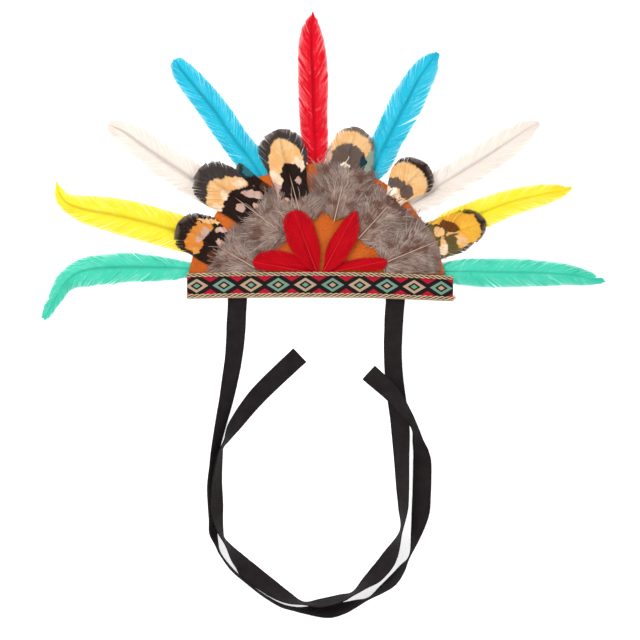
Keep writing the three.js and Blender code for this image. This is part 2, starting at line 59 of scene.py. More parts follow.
# %% Place of the design in the frame
PANEL_FOOT_Y = -7.9  # the panel's straight edge, below the trim's upper edge
TRIM_TOP = 9.8
TRIM_LENGTH = 200.0
TRIM_HEIGHT = 19.0
PANEL_RADIUS = 96.0
PANEL_UNDERSIDE = 2.7
PANEL_TOP = 4.3

MM = 1000.0  # in a metre
trim_low, trim_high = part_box("trim_band")
panel_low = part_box("base_panel")[0]
SHIFT = np.array([MM * (trim_low[0] + trim_high[0]) / 2, MM * panel_low[1] - PANEL_FOOT_Y, 0.0])
print("design origin in the frame, mm:", SHIFT.round(2))


def metres(points):
    """Design millimetres to the frame's metres."""
    return (np.asarray(points, float) + SHIFT) / MM


# %% [markdown]
# ## Camera, floor and light
# The photograph looks straight down on a white ground with hardly a shadow. A long lens far above
# keeps the view flat, a pale floor catches what little shadow there is, and one large lamp beside
# an even white sky gives the barbs a light side and a dark side.

# %% Camera
VIEW_WIDTH = 484.9  # how much of the ground the picture's side takes in
VIEW_MIDDLE_Y = -26.5
LENS = 90.0
SENSOR = 36.0

camera_data = bpy.data.cameras.new("camera")
camera_data.lens = LENS
camera_data.sensor_width = SENSOR
camera_data.clip_end = 20
camera = bpy.data.objects.new("camera", camera_data)
bpy.context.scene.collection.objects.link(camera)
camera.location = metres((0, VIEW_MIDDLE_Y, VIEW_WIDTH * LENS / SENSOR))
bpy.context.scene.camera = camera
print("camera height, m:", round(camera.location.z, 3))

# %% Sky and lamps
bpy.context.scene.view_settings.view_transform = "Standard"
sky = bpy.data.worlds.new("sky")
bpy.context.scene.world = sky
sky.use_nodes = True
sky.node_tree.nodes["Background"].inputs["Color"].default_value = (1.0, 0.99, 0.98, 1)
sky.node_tree.nodes["Background"].inputs["Strength"].default_value = 0.82

LAMPS = [
    # x, y, z in metres, size, watts
    {"name": "key", "at": (-0.75, 0.85, 1.25), "size": 1.0, "watts": 17.0},
    {"name": "fill", "at": (1.1, -0.5, 1.4), "size": 1.6, "watts": 6.0},
]
for row in LAMPS:
    lamp_data = bpy.data.lights.new(row["name"], "AREA")
    lamp_data.energy = row["watts"]
    lamp_data.size = row["size"]
    lamp = bpy.data.objects.new(row["name"], lamp_data)
    bpy.context.scene.collection.objects.link(lamp)
    lamp.location = row["at"]
    aim = -lamp.location.normalized()
    lamp.rotation_euler = aim.to_track_quat("-Z", "Y").to_euler()


# %% [markdown]
# ## Two small tools
# Every finish is built from nodes. A wrapper round a socket lets shader maths read as plain
# arithmetic, and one method adds any other node. Every mesh is built from arrays of points and
# faces, which is far quicker than adding barbs one at a time.

# %% Shader maths as arithmetic
class Wire:
    """An output socket. Arithmetic on it adds the node that does the sum."""

    def __init__(self, finish, socket):
        self.finish = finish
        self.socket = socket

    def __add__(self, other):
        return self.finish.combine("ADD", self, other)

    def __radd__(self, other):
        return self.finish.combine("ADD", other, self)

    def __sub__(self, other):
        return self.finish.combine("SUBTRACT", self, other)

    def __rsub__(self, other):
        return self.finish.combine("SUBTRACT", other, self)

    def __mul__(self, other):
        return self.finish.combine("MULTIPLY", self, other)

    def __rmul__(self, other):
        return self.finish.combine("MULTIPLY", other, self)

    def __truediv__(self, other):
        return self.finish.combine("DIVIDE", self, other)

    def __rtruediv__(self, other):
        return self.finish.combine("DIVIDE", other, self)


SOFT_GLOSS = 0.12  # thread, felt and feather shine far less than plastic


class Finish:
    """A material in the making, with the nodes that its look needs."""

    def __init__(self, name, roughness=0.7, sheen=0.0):
        self.material = bpy.data.materials.new(name)
        self.material.use_nodes = True
        self.tree = self.material.node_tree
        self.shader = self.tree.nodes["Principled BSDF"]
        self.shader.inputs["Roughness"].default_value = roughness
        self.shader.inputs["Sheen Weight"].default_value = sheen
        self.shader.inputs["Specular IOR Level"].default_value = SOFT_GLOSS

    def feed(self, socket, value):
        """Gives a socket a link or a plain value."""
        if isinstance(value, Wire):
            self.tree.links.new(value.socket, socket)
        elif socket.type == "RGBA":
            socket.default_value = (*value[:3], 1.0)
        else:
            socket.default_value = value

    def node(self, kind, settings=None, inputs=None, output=0):
        """Adds a node: its settings first, then its sockets, and returns one output."""
        made = self.tree.nodes.new(kind)
        for key, value in (settings or {}).items():
            setattr(made, key, value)
        for key, value in (inputs or {}).items():
            self.feed(made.inputs[key], value)
        return Wire(self, made.outputs[output])

    def combine(self, operation, first, second):
        """Adds the Math, Vector Math or Mix node for one sum."""
        kinds = {side.socket.type for side in (first, second) if isinstance(side, Wire)}
        if not kinds & {"RGBA", "VECTOR"}:
            return self.node("ShaderNodeMath", {"operation": operation}, {0: first, 1: second})
        sides = [side if isinstance(side, Wire) else (side,) * 3 for side in (first, second)]
        if "VECTOR" in kinds:
            return self.node("ShaderNodeVectorMath", {"operation": operation}, dict(enumerate(sides)))
        settings = {"data_type": "RGBA", "blend_type": operation}
        return self.node("ShaderNodeMix", settings, {0: 1.0, 6: sides[0], 7: sides[1]}, 2)

    def mix(self, low, high, share):
        """A colour between two others."""
        return self.node("ShaderNodeMix", {"data_type": "RGBA"}, {0: share, 6: low, 7: high}, 2)

    def rise(self, value, start, end):
        """0 before start, 1 after end and smooth between; falls where start is above end."""
        inputs = {"Value": value, "From Min": start, "From Max": end}
        return self.node("ShaderNodeMapRange", {"interpolation_type": "SMOOTHSTEP"}, inputs)

    def noise(self, where, scale, detail=2.0, roughness=0.5):
        """A cloudy value near a half."""
        inputs = {"Vector": where, "Scale": scale, "Detail": detail, "Roughness": roughness}
        return self.node("ShaderNodeTexNoise", {}, inputs)

    def layer(self, name):
        """The three numbers that a mesh carries at each point under a name."""
        stored = self.node("ShaderNodeAttribute", {"attribute_name": name}, output=1)
        parts = self.tree.nodes.new("ShaderNodeSeparateXYZ")
        self.feed(parts.inputs[0], stored)
        return [Wire(self, socket) for socket in parts.outputs]

    def vector(self, x, y, z=0.0):
        """Three numbers as the place that a noise is read at."""
        return self.node("ShaderNodeCombineXYZ", {}, {0: x, 1: y, 2: z})

    def cycle(self, value, length):
        """A saw from 0 to 1 that starts again after each length."""
        return self.node("ShaderNodeMath", {"operation": "FRACT"}, {0: value / length})

    def size(self, value):
        """The value without its sign."""
        return self.node("ShaderNodeMath", {"operation": "ABSOLUTE"}, {0: value})

    def grey(self, value):
        """The same number on all three channels, as a colour."""
        return self.node("ShaderNodeCombineColor", {}, {0: value, 1: value, 2: value})

    def bump(self, height, strength, distance):
        """Tilts the light by a height; distance is in metres."""
        inputs = {"Height": height, "Strength": strength, "Distance": distance}
        self.feed(self.shader.inputs["Normal"], self.node("ShaderNodeBump", {}, inputs))

    def colour(self, value):
        """Gives the surface its colour, and says how many nodes that took."""
        self.feed(self.shader.inputs["Base Color"], value)
        print(f"{self.material.name}: {len(self.tree.nodes)} nodes")


def dye(red, green, blue):
    """A colour as seen on screen, 0 to 255, as the linear colour that shaders use."""
    shares = np.array([red, green, blue]) / 255
    linear = np.where(shares <= 0.04045, shares / 12.92, ((shares + 0.055) / 1.055) ** 2.4)
    return tuple(float(value) for value in linear)


# %% Meshes from arrays
def make_mesh(name, points, face_sets, layers=None):
    """A mesh from design millimetres and arrays of faces, with numbers stored at its points."""
    mesh = bpy.data.meshes.new(name)
    mesh.vertices.add(len(points))
    mesh.vertices.foreach_set("co", metres(points).ravel())
    corners = np.concatenate([faces.ravel() for faces in face_sets]).astype(np.int32)
    sizes = np.concatenate([np.full(len(faces), faces.shape[1]) for faces in face_sets])
    starts = np.concatenate(([0], np.cumsum(sizes)[:-1])).astype(np.int32)
    mesh.loops.add(len(corners))
    mesh.polygons.add(len(sizes))
    mesh.polygons.foreach_set("loop_start", starts)
    mesh.loops.foreach_set("vertex_index", corners)
    mesh.update(calc_edges=True)
    mesh.shade_smooth()
    for key, values in (layers or {}).items():
        stored = mesh.attributes.new(key, "FLOAT_VECTOR", "POINT")
        stored.data.foreach_set("vector", np.asarray(values, np.float32).ravel())
    lay_bake_map(mesh, points, corners)
    return mesh


BAKE_LEAN = 0.4  # how far height leans the bake map over, so that upright faces get room
BAKE_EDGE = 0.01  # share of the map that stays empty along each side


def lay_bake_map(mesh, points, corners):
    """A map for baking: the piece seen from above, leaned a little."""
    flat = points[:, :2] + BAKE_LEAN * points[:, 2:3]
    flat = (flat - flat.min(axis=0)) / (flat.max(axis=0) - flat.min(axis=0)).max()
    flat = BAKE_EDGE + (1 - 2 * BAKE_EDGE) * flat[corners]
    mesh.uv_layers.new(name="OFBake").data.foreach_set("uv", flat.astype(np.float32).ravel())


def add_piece(mesh, finish, slot, *nodes):
    """Puts a mesh in the scene as a piece that stands for CAD nodes."""
    piece = bpy.data.objects.new(mesh.name, mesh)
    bpy.context.scene.collection.objects.link(piece)
    mesh.materials.append(finish.material)
    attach(piece, "root")
    if nodes:
        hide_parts(*nodes)
    triangles = sum(len(face.vertices) - 2 for face in mesh.polygons)
    print(f"{mesh.name}: {triangles} triangles")
    return piece


def tube_faces(rings, sides):
    """Quads between rings of points, and the two end caps, for one closed tube."""
    ring, side = np.meshgrid(np.arange(rings - 1), np.arange(sides), indexing="ij")
    after = (side + 1) % sides
    here = ring * sides
    quads = np.stack([here + side, here + after, here + sides + after, here + sides + side], -1)
    first = np.arange(sides)[::-1]
    last = np.arange(sides) + (rings - 1) * sides
    return quads.reshape(-1, 4), np.stack([first, last])


UP = np.array([0, 0, 1.0])


def unit(ways):
    """The same directions, each of length 1."""
    return ways / np.maximum(np.linalg.norm(ways, axis=-1, keepdims=True), 1e-9)


def left_of(run):
    """The level directions to the left of these directions."""
    return np.stack([-run[..., 1], run[..., 0], 0 * run[..., 0]], -1)


def walk(starts, turn, step):
    """The x and the y of paths that take one step in each heading of turn."""
    ways = np.cos(turn), np.sin(turn)
    return [starts[:, axis, None] + (np.cumsum(way, axis=1) - way) * step for axis, way in enumerate(ways)]


def slow_draws(draw, count, window, spread):
    """Draws that change slowly: each is the sum of a window of plain ones, over spread."""
    return np.convolve(draw.normal(size=count + window - 1), np.ones(window) / spread, "valid")


def each_corner(values):
    """The numbers of each ring of a three-sided tube, once for each of its points."""
    return np.repeat(values, 3, 1).reshape(-1, 3)


def between(values, place):
    """A smooth value between the entries of a list; place counts entries."""
    values = np.asarray(values, float)
    place = np.asarray(place, float)
    step = np.minimum(place.astype(int), len(values) - 2)
    share = place - step
    before, start = values[np.maximum(step - 1, 0)], values[step]
    end, after = values[step + 1], values[np.minimum(step + 2, len(values) - 1)]
    square, cube = share**2, share**3
    return (
        start * (2 * cube - 3 * square + 1)
        + (end - before) / 2 * (cube - 2 * square + share)
        + end * (3 * square - 2 * cube)
        + (after - start) / 2 * (cube - square)
    )


def smooth_step(value):
    """0 below 0, 1 above 1 and smooth between."""
    share = np.clip(value, 0, 1)
    return share * share * (3 - 2 * share)


# %% Floor
FLOOR_HALF = 4000.0
FLOOR_GLOW = 0.6  # lifts the shadows to near white, as on the photograph's ground
floor_points = np.array([[-1, -1, 0], [1, -1, 0], [1, 1, 0], [-1, 1, 0]]) * FLOOR_HALF
floor_finish = Finish("pale_floor", roughness=0.9)
floor_finish.colour(dye(250, 250, 250))
floor_finish.shader.inputs["Emission Color"].default_value = (1, 1, 1, 1)
floor_finish.shader.inputs["Emission Strength"].default_value = FLOOR_GLOW
floor_mesh = make_mesh("floor", floor_points, [np.array([[0, 1, 2, 3]])])
floor = bpy.data.objects.new("floor", floor_mesh)
floor_mesh.materials.append(floor_finish.material)
bpy.context.scene.collection.objects.link(floor)

# %% [markdown]
# ## The ties
# Each tie is half a metre of black cotton twill tape, fixed behind the panel's foot. It leaves
# flat, then rolls onto its edge as it swings round, which is how tape bends on a table. A tape is a
# thin strip, so we sweep a flat section with thick selvages along the route, rolled by the angle
# that each row gives. Twill's slanting ribs are under a millimetre wide, so they are bump, and the
# colour is painted lighter on their raised threads and darker in the grooves, as painted light and shade.

# %% Routes of the ties
TIE_WIDTH = 14.5
TIE_THICKNESS = 1.0
UNDER = 1.4  # how far the tape's lower face clears the floor behind the panel
LOOK_AROUND = 0.05  # share of a row to look back and ahead for a direction
TIE_ROUTES = {
    # x, y, roll in degrees (0 lies flat, 90 stands on edge, less than 0 rolls the other way),
    # and how far the lower edge clears the floor
    "tie_left": [
        (-62.4, 2.5, 0, UNDER), (-62.4, -9.8, 0, UNDER), (-63.3, -26.5, -4, 0.3),
        (-64, -41.7, -19, 0), (-65.5, -56.8, -29, 0), (-68, -72, -37, 0),
        (-70.8, -87.1, -47, 0), (-73.9, -100.8, -55, 0), (-79, -125, -69, 0),
        (-80.6, -136, -73, 0), (-82.5, -151.5, -76, 0), (-83, -168.2, -86, 0),
        (-81.9, -176.6, -82, 0), (-80.5, -186.1, -72, 0), (-78.1, -194.1, -85, 0),
        (-75, -202.8, -94, 0), (-66.5, -214.2, -93, 0), (-56.4, -223.1, -94, 0),
        (-43.5, -233.2, -94, 0), (-30.1, -241.1, -92, 0), (-19.4, -244.1, -90, 0),
        (-10.6, -245.2, -80, 0), (6.2, -245.7, -53, 0), (17.2, -243.7, -64, 0),
        (27, -240.1, -80, 0), (36.5, -236.3, -95, 0), (46.2, -229.6, -79, 0),
        (54.8, -222.8, -68, 0), (61.6, -214.1, -77, 0), (67.4, -204.4, -94, 0),
        (72.4, -187.4, -62, 0), (75.7, -173, -29, 0), (76.7, -162.9, -14, 0),
        (77.3, -137.9, -20, 0), (76.4, -127.3, -36, 0),
        (73.9, -118.2, -58, 1.6), (71.2, -107.6, -73, 5), (64.1, -95.5, -58, 6.4),
        (53, -81.1, -33, 4.2), (36.7, -66.1, -10, 0),
    ],
    "tie_right": [
        (57.1, 2.5, 0, UNDER), (57.1, -9.8, 0, UNDER), (56.1, -22.7, 6, 0.4),
        (55.5, -34.1, 18, 0), (55, -49.2, 24, 0), (55.8, -67.4, 22, 0),
        (58.3, -88.6, 18, 0), (60.6, -106.8, 18, 0), (61.5, -130.3, 40, 0),
        (62.3, -153.8, 52, 0), (62.6, -168.5, 64, 0), (60.8, -186.6, 88, 0),
        (52, -206.2, 42, 0), (43.2, -217.5, 41, 0), (34.3, -224.7, 67, 0),
        (24.8, -232.6, 89, 0), (15.6, -236.2, 77, 0), (0, -239.7, 76, 0),
        (-12.5, -239.8, 92, 0), (-24.9, -235.4, 63, 0), (-37.1, -228.4, 40, 0),
        (-53.5, -216.3, 28, 0), (-58.9, -210.1, 47, 0), (-63.8, -204.3, 62, 0),
        (-69.1, -196.7, 83, 0), (-72.8, -191.4, 89, 0), (-74.8, -186, 79, 0),
        (-76.9, -176.7, 63, 0), (-78, -167.3, 51, 0), (-77.6, -147.7, 64, 0),
        (-75.2, -128, 80, 0), (-73.9, -122.7, 85, 0), (-70, -116.4, 76, 0),
        (-63.3, -104.5, 47, 0), (-45.7, -82.2, 22, 0), (-15.2, -53, 10, 0),
    ],
}


def tape_rows(route, place):
    """Middle points of the tape, the way across it and the way out of its face."""
    x, y, roll, clear = (between(column, place) for column in zip(*route))
    back = np.maximum(place - LOOK_AROUND, 0)
    ahead = np.minimum(place + LOOK_AROUND, len(route) - 1)
    columns = [[row[axis] for row in route] for axis in (0, 1)]
    run = unit(np.stack([between(column, ahead) - between(column, back) for column in columns], -1))
    cosine, sine = np.cos(np.radians(roll))[:, None], np.sin(np.radians(roll))[:, None]
    across = left_of(run) * cosine + UP * sine
    face = UP * cosine - left_of(run) * sine
    height = TIE_WIDTH / 2 * np.abs(across[:, 2]) + TIE_THICKNESS / 2 * np.abs(face[:, 2])
    middle = np.stack([x, y, height + np.maximum(clear, 0)], -1)
    return middle, across, face


# %% Black twill
def twill_finish():
    finish = Finish("black_twill", roughness=0.85)
    run, aside, _ = finish.layer("tape")
    rib = finish.size(finish.cycle(run + aside, 0.95) - 0.5) * 2
    thread = finish.size(finish.cycle(run - 2.4 * aside, 0.42) - 0.5) * 2
    weave = rib * 0.75 + thread * 0.25
    worn = finish.noise(finish.vector(run, aside), 0.12, 3.0)
    # Painted light and shade: the colour follows the weave's bump, lighter on raised threads and darker in
    # the grooves, besides the weave's own look and random tone.
    shade = finish.mix(dye(20, 17, 18), dye(50, 43, 44), weave * 0.6 + (worn - 0.5) * 0.7)
    selvage = finish.rise(finish.size(aside), 6.1, 6.7)
    finish.colour(finish.mix(shade, dye(30, 26, 27), selvage * 0.7))
    finish.bump(weave, 0.6, 0.0002)
    return finish


black_twill = twill_finish()

# %% Sweep the tapes
TAPE_SECTION = [
    # aside and up are shares of half the width and half the thickness
    (1.0, -0.45), (1.0, 0.45), (0.97, 0.95), (0.9, 0.9), (0.86, 0.6), (0.5, 0.7), (0.0, 0.72),
    (-0.5, 0.7), (-0.86, 0.6), (-0.9, 0.9), (-0.97, 0.95), (-1.0, 0.45), (-1.0, -0.45),
    (-0.97, -0.95), (-0.9, -0.9), (-0.86, -0.6), (-0.5, -0.7), (0.0, -0.72), (0.5, -0.7),
    (0.86, -0.6), (0.9, -0.9), (0.97, -0.95),
]
TIE_WANDER = 0.008  # how much a tape's width wanders, as a share of it
STEPS_A_ROW = 8


def tape_mesh(name, route):
    """The tape as a closed strip, its edges wandering a hair as woven ones do."""
    draw = np.random.default_rng(len(route))
    place = np.linspace(0, len(route) - 1, STEPS_A_ROW * (len(route) - 1) + 1)
    middle, across, face = tape_rows(route, place)
    wander = 1 + TIE_WANDER * slow_draws(draw, len(place), 5, 2.2)
    section = np.array(TAPE_SECTION)
    aside = section[:, 0] * TIE_WIDTH / 2
    up = section[:, 1] * TIE_THICKNESS / 2
    points = (
        middle[:, None]
        + across[:, None] * (aside[None, :, None] * wander[:, None, None])
        + face[:, None] * up[None, :, None]
    )
    run = np.concatenate(([0], np.cumsum(np.linalg.norm(np.diff(middle, axis=0), axis=1))))
    along = np.repeat(run, len(section))
    layer = {"tape": np.stack([along, np.tile(aside, len(run)), 0 * along], -1)}
    mesh = make_mesh(name, points.reshape(-1, 3), tube_faces(len(run), len(section)), layer)
    return mesh, run[-1] / MM


for node, route in TIE_ROUTES.items():
    mesh, measured = tape_mesh(node.replace("tie", "tape"), route)
    tape = add_piece(mesh, black_twill, "tape", node)
    stations = np.arange(len(route), dtype=float)
    path = [tuple(float(value) for value in point) for point in metres(tape_rows(route, stations)[0])]
    print(f"{node} is {measured:.3f} m long")

# %% [markdown]
# ## The felt panel
# The base is a half round cut by hand from rust-orange felt with a brushed face. Its edge wanders in
# and out a little, so the outline is a circle whose radius follows a short table of cuts. Felt has
# no hard corner, so the edge is rounded over, the faces swell and dip a hair, and loose fibres
# stand out round the cut edge.

# %% Outline of the panel
PANEL_CENTRE = np.array([-0.0115 * TRIM_LENGTH, TRIM_TOP - 0.149 * PANEL_RADIUS])
PANEL_CUT = {
    # heading in degrees: share of the radius
    8: 1.012, 26: 0.992, 46: 0.998, 60: 1.002, 88: 1.005, 109: 0.984,
    117: 1.005, 138: 1.011, 144: 0.998, 165: 1.014, 172: 1.018,
}
EDGE_POINTS = 260
FOOT_POINTS = 60


def panel_outline(inset=0.0):
    """The panel's outline against the clock, from the middle of its straight edge."""
    heading = np.linspace(min(PANEL_CUT), max(PANEL_CUT), EDGE_POINTS)
    radius = PANEL_RADIUS * np.interp(heading, list(PANEL_CUT), list(PANEL_CUT.values())) - inset
    angle = np.radians(heading)
    arc = PANEL_CENTRE + radius[:, None] * np.stack([np.cos(angle), np.sin(angle)], -1)
    arc[:, 1] = np.maximum(arc[:, 1], PANEL_FOOT_Y + inset)
    foot = np.linspace(arc[-1, 0], arc[0, 0], FOOT_POINTS)[1:-1]
    straight = np.stack([foot, np.full(len(foot), PANEL_FOOT_Y + inset)], -1)
    corner = arc[[-1, 0]] * [1, 0] + [0, PANEL_FOOT_Y + inset]
    return np.concatenate([arc, corner[:1], straight, corner[1:]])


# %% Brushed felt
def felt_finish():
    finish = Finish("brushed_felt", roughness=0.95, sheen=0.1)
    x, y, up = finish.layer("felt")
    where = finish.vector(x, y, up)
    cloud = finish.noise(where, 0.035, 3.0)
    nap = finish.noise(finish.vector(x * 0.5 + y * 0.3, y - x * 0.4, up), 0.9, 4.0, 0.65)
    grain = finish.noise(where, 3.5, 2.0)
    tone = (cloud - 0.5) * 0.9 + (nap - 0.5) * 1.1 + (grain - 0.5) * 0.5 + 0.5
    low = finish.mix(dye(146, 62, 16), dye(192, 92, 30), finish.rise(tone, 0.1, 0.6))
    finish.colour(finish.mix(low, dye(212, 118, 52), finish.rise(tone, 0.55, 1.0)))
    finish.bump(nap * 0.6 + grain * 0.4, 0.5, 0.0006)
    return finish


brushed_felt = felt_finish()

# %% Build the panel and its fibres
FELT_SECTION = [
    # how far in from the cut edge in mm, share of the thickness
    (55.0, 0.0), (30.0, 0.0), (12.0, 0.0), (4.0, 0.0), (1.2, 0.02), (0.35, 0.14), (0.0, 0.5),
    (0.35, 0.86), (1.2, 0.98), (4.0, 1.0), (9.0, 1.0), (16.0, 1.0), (26.0, 1.0), (38.0, 1.0),
    (55.0, 1.0),
]
RING_MIDDLE = np.array([PANEL_CENTRE[0], 34.0])  # the rings close in on this point
RING_SPREAD = 1.15  # insets are this many times the table's
SWELL = 0.12  # how far the front face swells and dips
FIBRES = 900
FIBRE_WIDTH = 0.05


def fibres(seed, starts, ways, length, width, lift, segments=3):
    """Thin tapered hairs from points on a surface."""
    draw = np.random.default_rng(seed)
    share = np.linspace(0, 1, segments + 1)
    bend = draw.normal(0, 0.5, len(starts))
    turn = np.arctan2(ways[:, 1], ways[:, 0])[:, None] + bend[:, None] * share
    x, y = walk(starts, turn, length[:, None] / segments)
    z = starts[:, 2, None] + lift[:, None] * share
    half = width * (1 - 0.75 * share) * np.ones((len(starts), 1))
    return prisms(np.stack([x, y, z], -1), half, width)


def prisms(paths, half, rise, tilt=0.0):
    """Closed three-sided tubes along many paths at once. tilt lifts the left edge over the right."""
    count, rings, _ = paths.shape
    aside = left_of(unit(np.gradient(paths[:, :, :2], axis=1))) * half[..., None]
    low = -0.4 * rise
    points = np.stack([
        paths + aside + UP * (low + tilt),
        paths + UP * (low + rise),
        paths - aside + UP * (low - tilt),
    ], axis=2)
    quads, caps = tube_faces(rings, 3)
    offsets = (np.arange(count) * rings * 3)[:, None, None]
    faces = [(quads[None] + offsets).reshape(-1, 4), (caps[None] + offsets).reshape(-1, 3)]
    return points.reshape(-1, 3), faces


def join(parts):
    """Parts, each of points, faces and layers, as one set of arrays."""
    points, faces, layers, count = [], [], {}, 0
    for part_points, part_faces, part_layers in parts:
        points.append(part_points)
        faces += [face + count for face in part_faces]
        for key, values in part_layers.items():
            layers.setdefault(key, []).append(values)
        count += len(part_points)
    layers = {key: np.concatenate(rows) for key, rows in layers.items()}
    return np.concatenate(points), faces, layers


def build_panel():
    """The felt as one closed body, rings in from the edge on both faces."""
    rings = []
    edge = panel_outline()
    way = RING_MIDDLE - edge
    reach = np.linalg.norm(way, axis=1, keepdims=True)
    for inset, share in FELT_SECTION:
        ring = edge + way * np.minimum(inset * RING_SPREAD / reach, 0.98)
        z = np.full(len(ring), PANEL_UNDERSIDE + share * (PANEL_TOP - PANEL_UNDERSIDE))
        swell = SWELL * np.sin(ring[:, 0] * 0.11) * np.cos(ring[:, 1] * 0.17)
        z += np.where(share > 0.9, swell - 0.1, 0)
        rings.append(np.column_stack([ring, z]))
    points = np.concatenate(rings[::-1])
    quads, caps = tube_faces(len(rings), len(edge))
    body = (points, [quads[:, ::-1], caps[:, ::-1]], {"felt": points})
    draw = np.random.default_rng(5)
    pick = draw.integers(0, EDGE_POINTS, FIBRES)
    starts = np.column_stack([panel_outline(0.25)[pick], draw.uniform(2.9, 4.2, FIBRES)])
    ways = starts[:, :2] - RING_MIDDLE + draw.normal(0, 30, (FIBRES, 2))
    length = draw.uniform(0.5, 1.5, FIBRES)
    hair, faces = fibres(6, starts, ways, length, FIBRE_WIDTH, draw.normal(0, 0.25, FIBRES))
    return join([body, (hair, faces, {"felt": hair})])


felt_mesh = make_mesh("felt_half_round", *build_panel())
felt = add_piece(felt_mesh, brushed_felt, "felt", "base_panel")

# %% [markdown]
# ## The woven trim
# The trim is a jacquard ribbon: a chain of diamonds in sage and sand on black and red, between two
# twisted cords. The diamonds repeat, so a little arithmetic on the distance along and down the ribbon
# draws them, and the same distances give the weave its threads, painted darker in the grooves between
# them as painted shade. Each cord is three light strands twisted round a core, and they catch the light,
# so we model them: three helices and a straight rod. The strands' sides and the core are painted near
# black, as painted shade in the crevices between the strands.

# %% Shape of the ribbon
TRIM_ALONG = [-0.5, -0.35, -0.1, 0.1, 0.25, 0.5]  # shares of the trim's length
TRIM_SAG = [-0.005, -0.002, 0, -0.001, -0.004, -0.0145]
TRIM_BULGE = 2.7  # how far the upper edge rises over the red feathers' roots
TRIM_BULGE_REACH = 27.0
TRIM_SEAT = PANEL_TOP + 0.3
RIBBON_SECTION = [
    # down from the upper edge, up from the seat
    (0.5, 0.1), (0.35, 0.5), (0.5, 0.85), *[(1.0 + 0.5 * step, 0.95) for step in range(35)],
    (18.9, 0.85), (19.35, 0.4), (19.4, -0.6), (19.3, -1.7), (18.9, -1.9), (18.3, -1.8),
    (18.1, -0.6), (18.1, 0.1),
]


def ribbon_spot(x, down, up):
    """A point of the trim from its distance along, down and up."""
    place = np.linspace(0, len(TRIM_ALONG) - 1, 200)
    along, sags = between(TRIM_ALONG, place), between(TRIM_SAG, place)
    sag = np.interp(x / TRIM_LENGTH, along, sags) * TRIM_LENGTH
    bulge = TRIM_BULGE * (0.5 + 0.5 * np.cos(np.pi * np.minimum(np.abs(x) / TRIM_BULGE_REACH, 1)))
    held = smooth_step((0.82 - down / TRIM_HEIGHT) / 0.71)
    return np.stack([x, TRIM_TOP + sag - down, TRIM_SEAT + up + bulge * held], -1)


# %% Diamonds by arithmetic
DIAMOND_PITCH = 20.5
FIRST_DIAMOND = -93.0
DIAMOND_ROW = 9.7  # from the upper edge down to the diamonds' middles
TOOTH = 4.8  # the black teeth on the red edges are three quarters of this tall
WEFT_PITCH, WARP_PITCH = 0.55, 0.7
# The near-black thread colour is also used on the cords as painted shade in their crevices.
SAND, SAGE, SCARLET, INK_AND_CORD_SHADE = dye(190, 163, 134), dye(120, 156, 137), dye(186, 22, 46), dye(28, 24, 26)


def trim_finish():
    finish = Finish("jacquard_ribbon", roughness=0.85)
    along, down, _ = finish.layer("weave")
    step = (along - (FIRST_DIAMOND - DIAMOND_PITCH / 2)) / DIAMOND_PITCH
    across = finish.size(finish.cycle(step, 1.0) - 0.5) * DIAMOND_PITCH
    height = finish.size(down - DIAMOND_ROW)
    even = finish.rise(finish.cycle(step, 2.0), 0.499, 0.501)
    ragged = (finish.noise(finish.vector(along, down), 2.2, 2.0) - 0.5) * 0.12

    def diamond(wide, tall):
        """1 inside a diamond with these half sizes."""
        return finish.rise(across / wide + height / tall + ragged, 1.03, 0.97)

    weft = finish.cycle(down + along * 0.02, WEFT_PITCH)
    warp = finish.cycle(along, WARP_PITCH)
    teeth = finish.size(finish.cycle(step, 0.5) - 0.25) * TOOTH
    ground = finish.mix(SCARLET, INK_AND_CORD_SHADE, finish.rise(height - teeth, 6.0, 6.2))
    outer = finish.mix(ground, INK_AND_CORD_SHADE, diamond(14.6, 8.9))
    light = finish.mix(SAND, SAGE, even)
    dark = finish.mix(SAGE, SAND, even)
    woven = finish.mix(outer, light, diamond(8.7, 5.3))
    woven = finish.mix(woven, INK_AND_CORD_SHADE, diamond(4.9, 3.2))
    woven = finish.mix(woven, dark, diamond(2.6, 1.8))
    woven = finish.mix(woven, SAND, finish.rise(down, 18.2, 18.5))
    thread = finish.size(weft - 0.5) * 2
    stitch = finish.size(warp - 0.5) * 2
    tone = finish.noise(finish.vector(along * 0.4, down * 3), 1.0, 3.0)
    # Painted shade: the colour is darker in the grooves between weft threads and warp stitches, where the
    # bump dips; the tone noise is random.
    shade = 0.72 + thread * 0.22 + stitch * 0.06 + (tone - 0.5) * 0.35
    finish.colour(woven * finish.grey(shade))
    finish.bump(thread * 0.7 + stitch * 0.3, 0.6, 0.00025)
    return finish


def rope_finish():
    finish = Finish("twisted_cord", roughness=0.8)
    run, strand, round_it = finish.layer("rope")
    ply = finish.size(finish.cycle(run * 1.6 + round_it * 0.9, 1.0) - 0.5) * 2
    crest = finish.node("ShaderNodeMath", {"operation": "SINE"}, {0: round_it})
    cloud = finish.noise(finish.vector(run * 0.35, strand * 7), 1.0, 3.0)
    # The ply is painted lighter where its bump rises, as painted light, on top of random cloud.
    plain = finish.mix(dye(158, 134, 102), dye(226, 206, 168), ply * 0.6 + cloud * 0.5)
    tinted = finish.mix(plain, dye(128, 152, 118), finish.rise(cloud, 0.56, 0.7) * 0.7)
    third = finish.rise(strand, 1.4, 1.6)
    tinted = finish.mix(tinted, dye(176, 128, 112), third * finish.rise(cloud, 0.6, 0.42) * 0.8)
    # Painted shade: each light strand is painted near black on its sides and underside, and the core near
    # black all round, as the shade in the crevices between strands.
    lit = finish.rise(crest, 0.0, 0.5) * finish.rise(strand, 2.6, 2.5)
    finish.colour(finish.mix(INK_AND_CORD_SHADE, tinted, lit))
    finish.bump(ply, 0.5, 0.0002)
    return finish


jacquard = trim_finish()
twisted_cord = rope_finish()

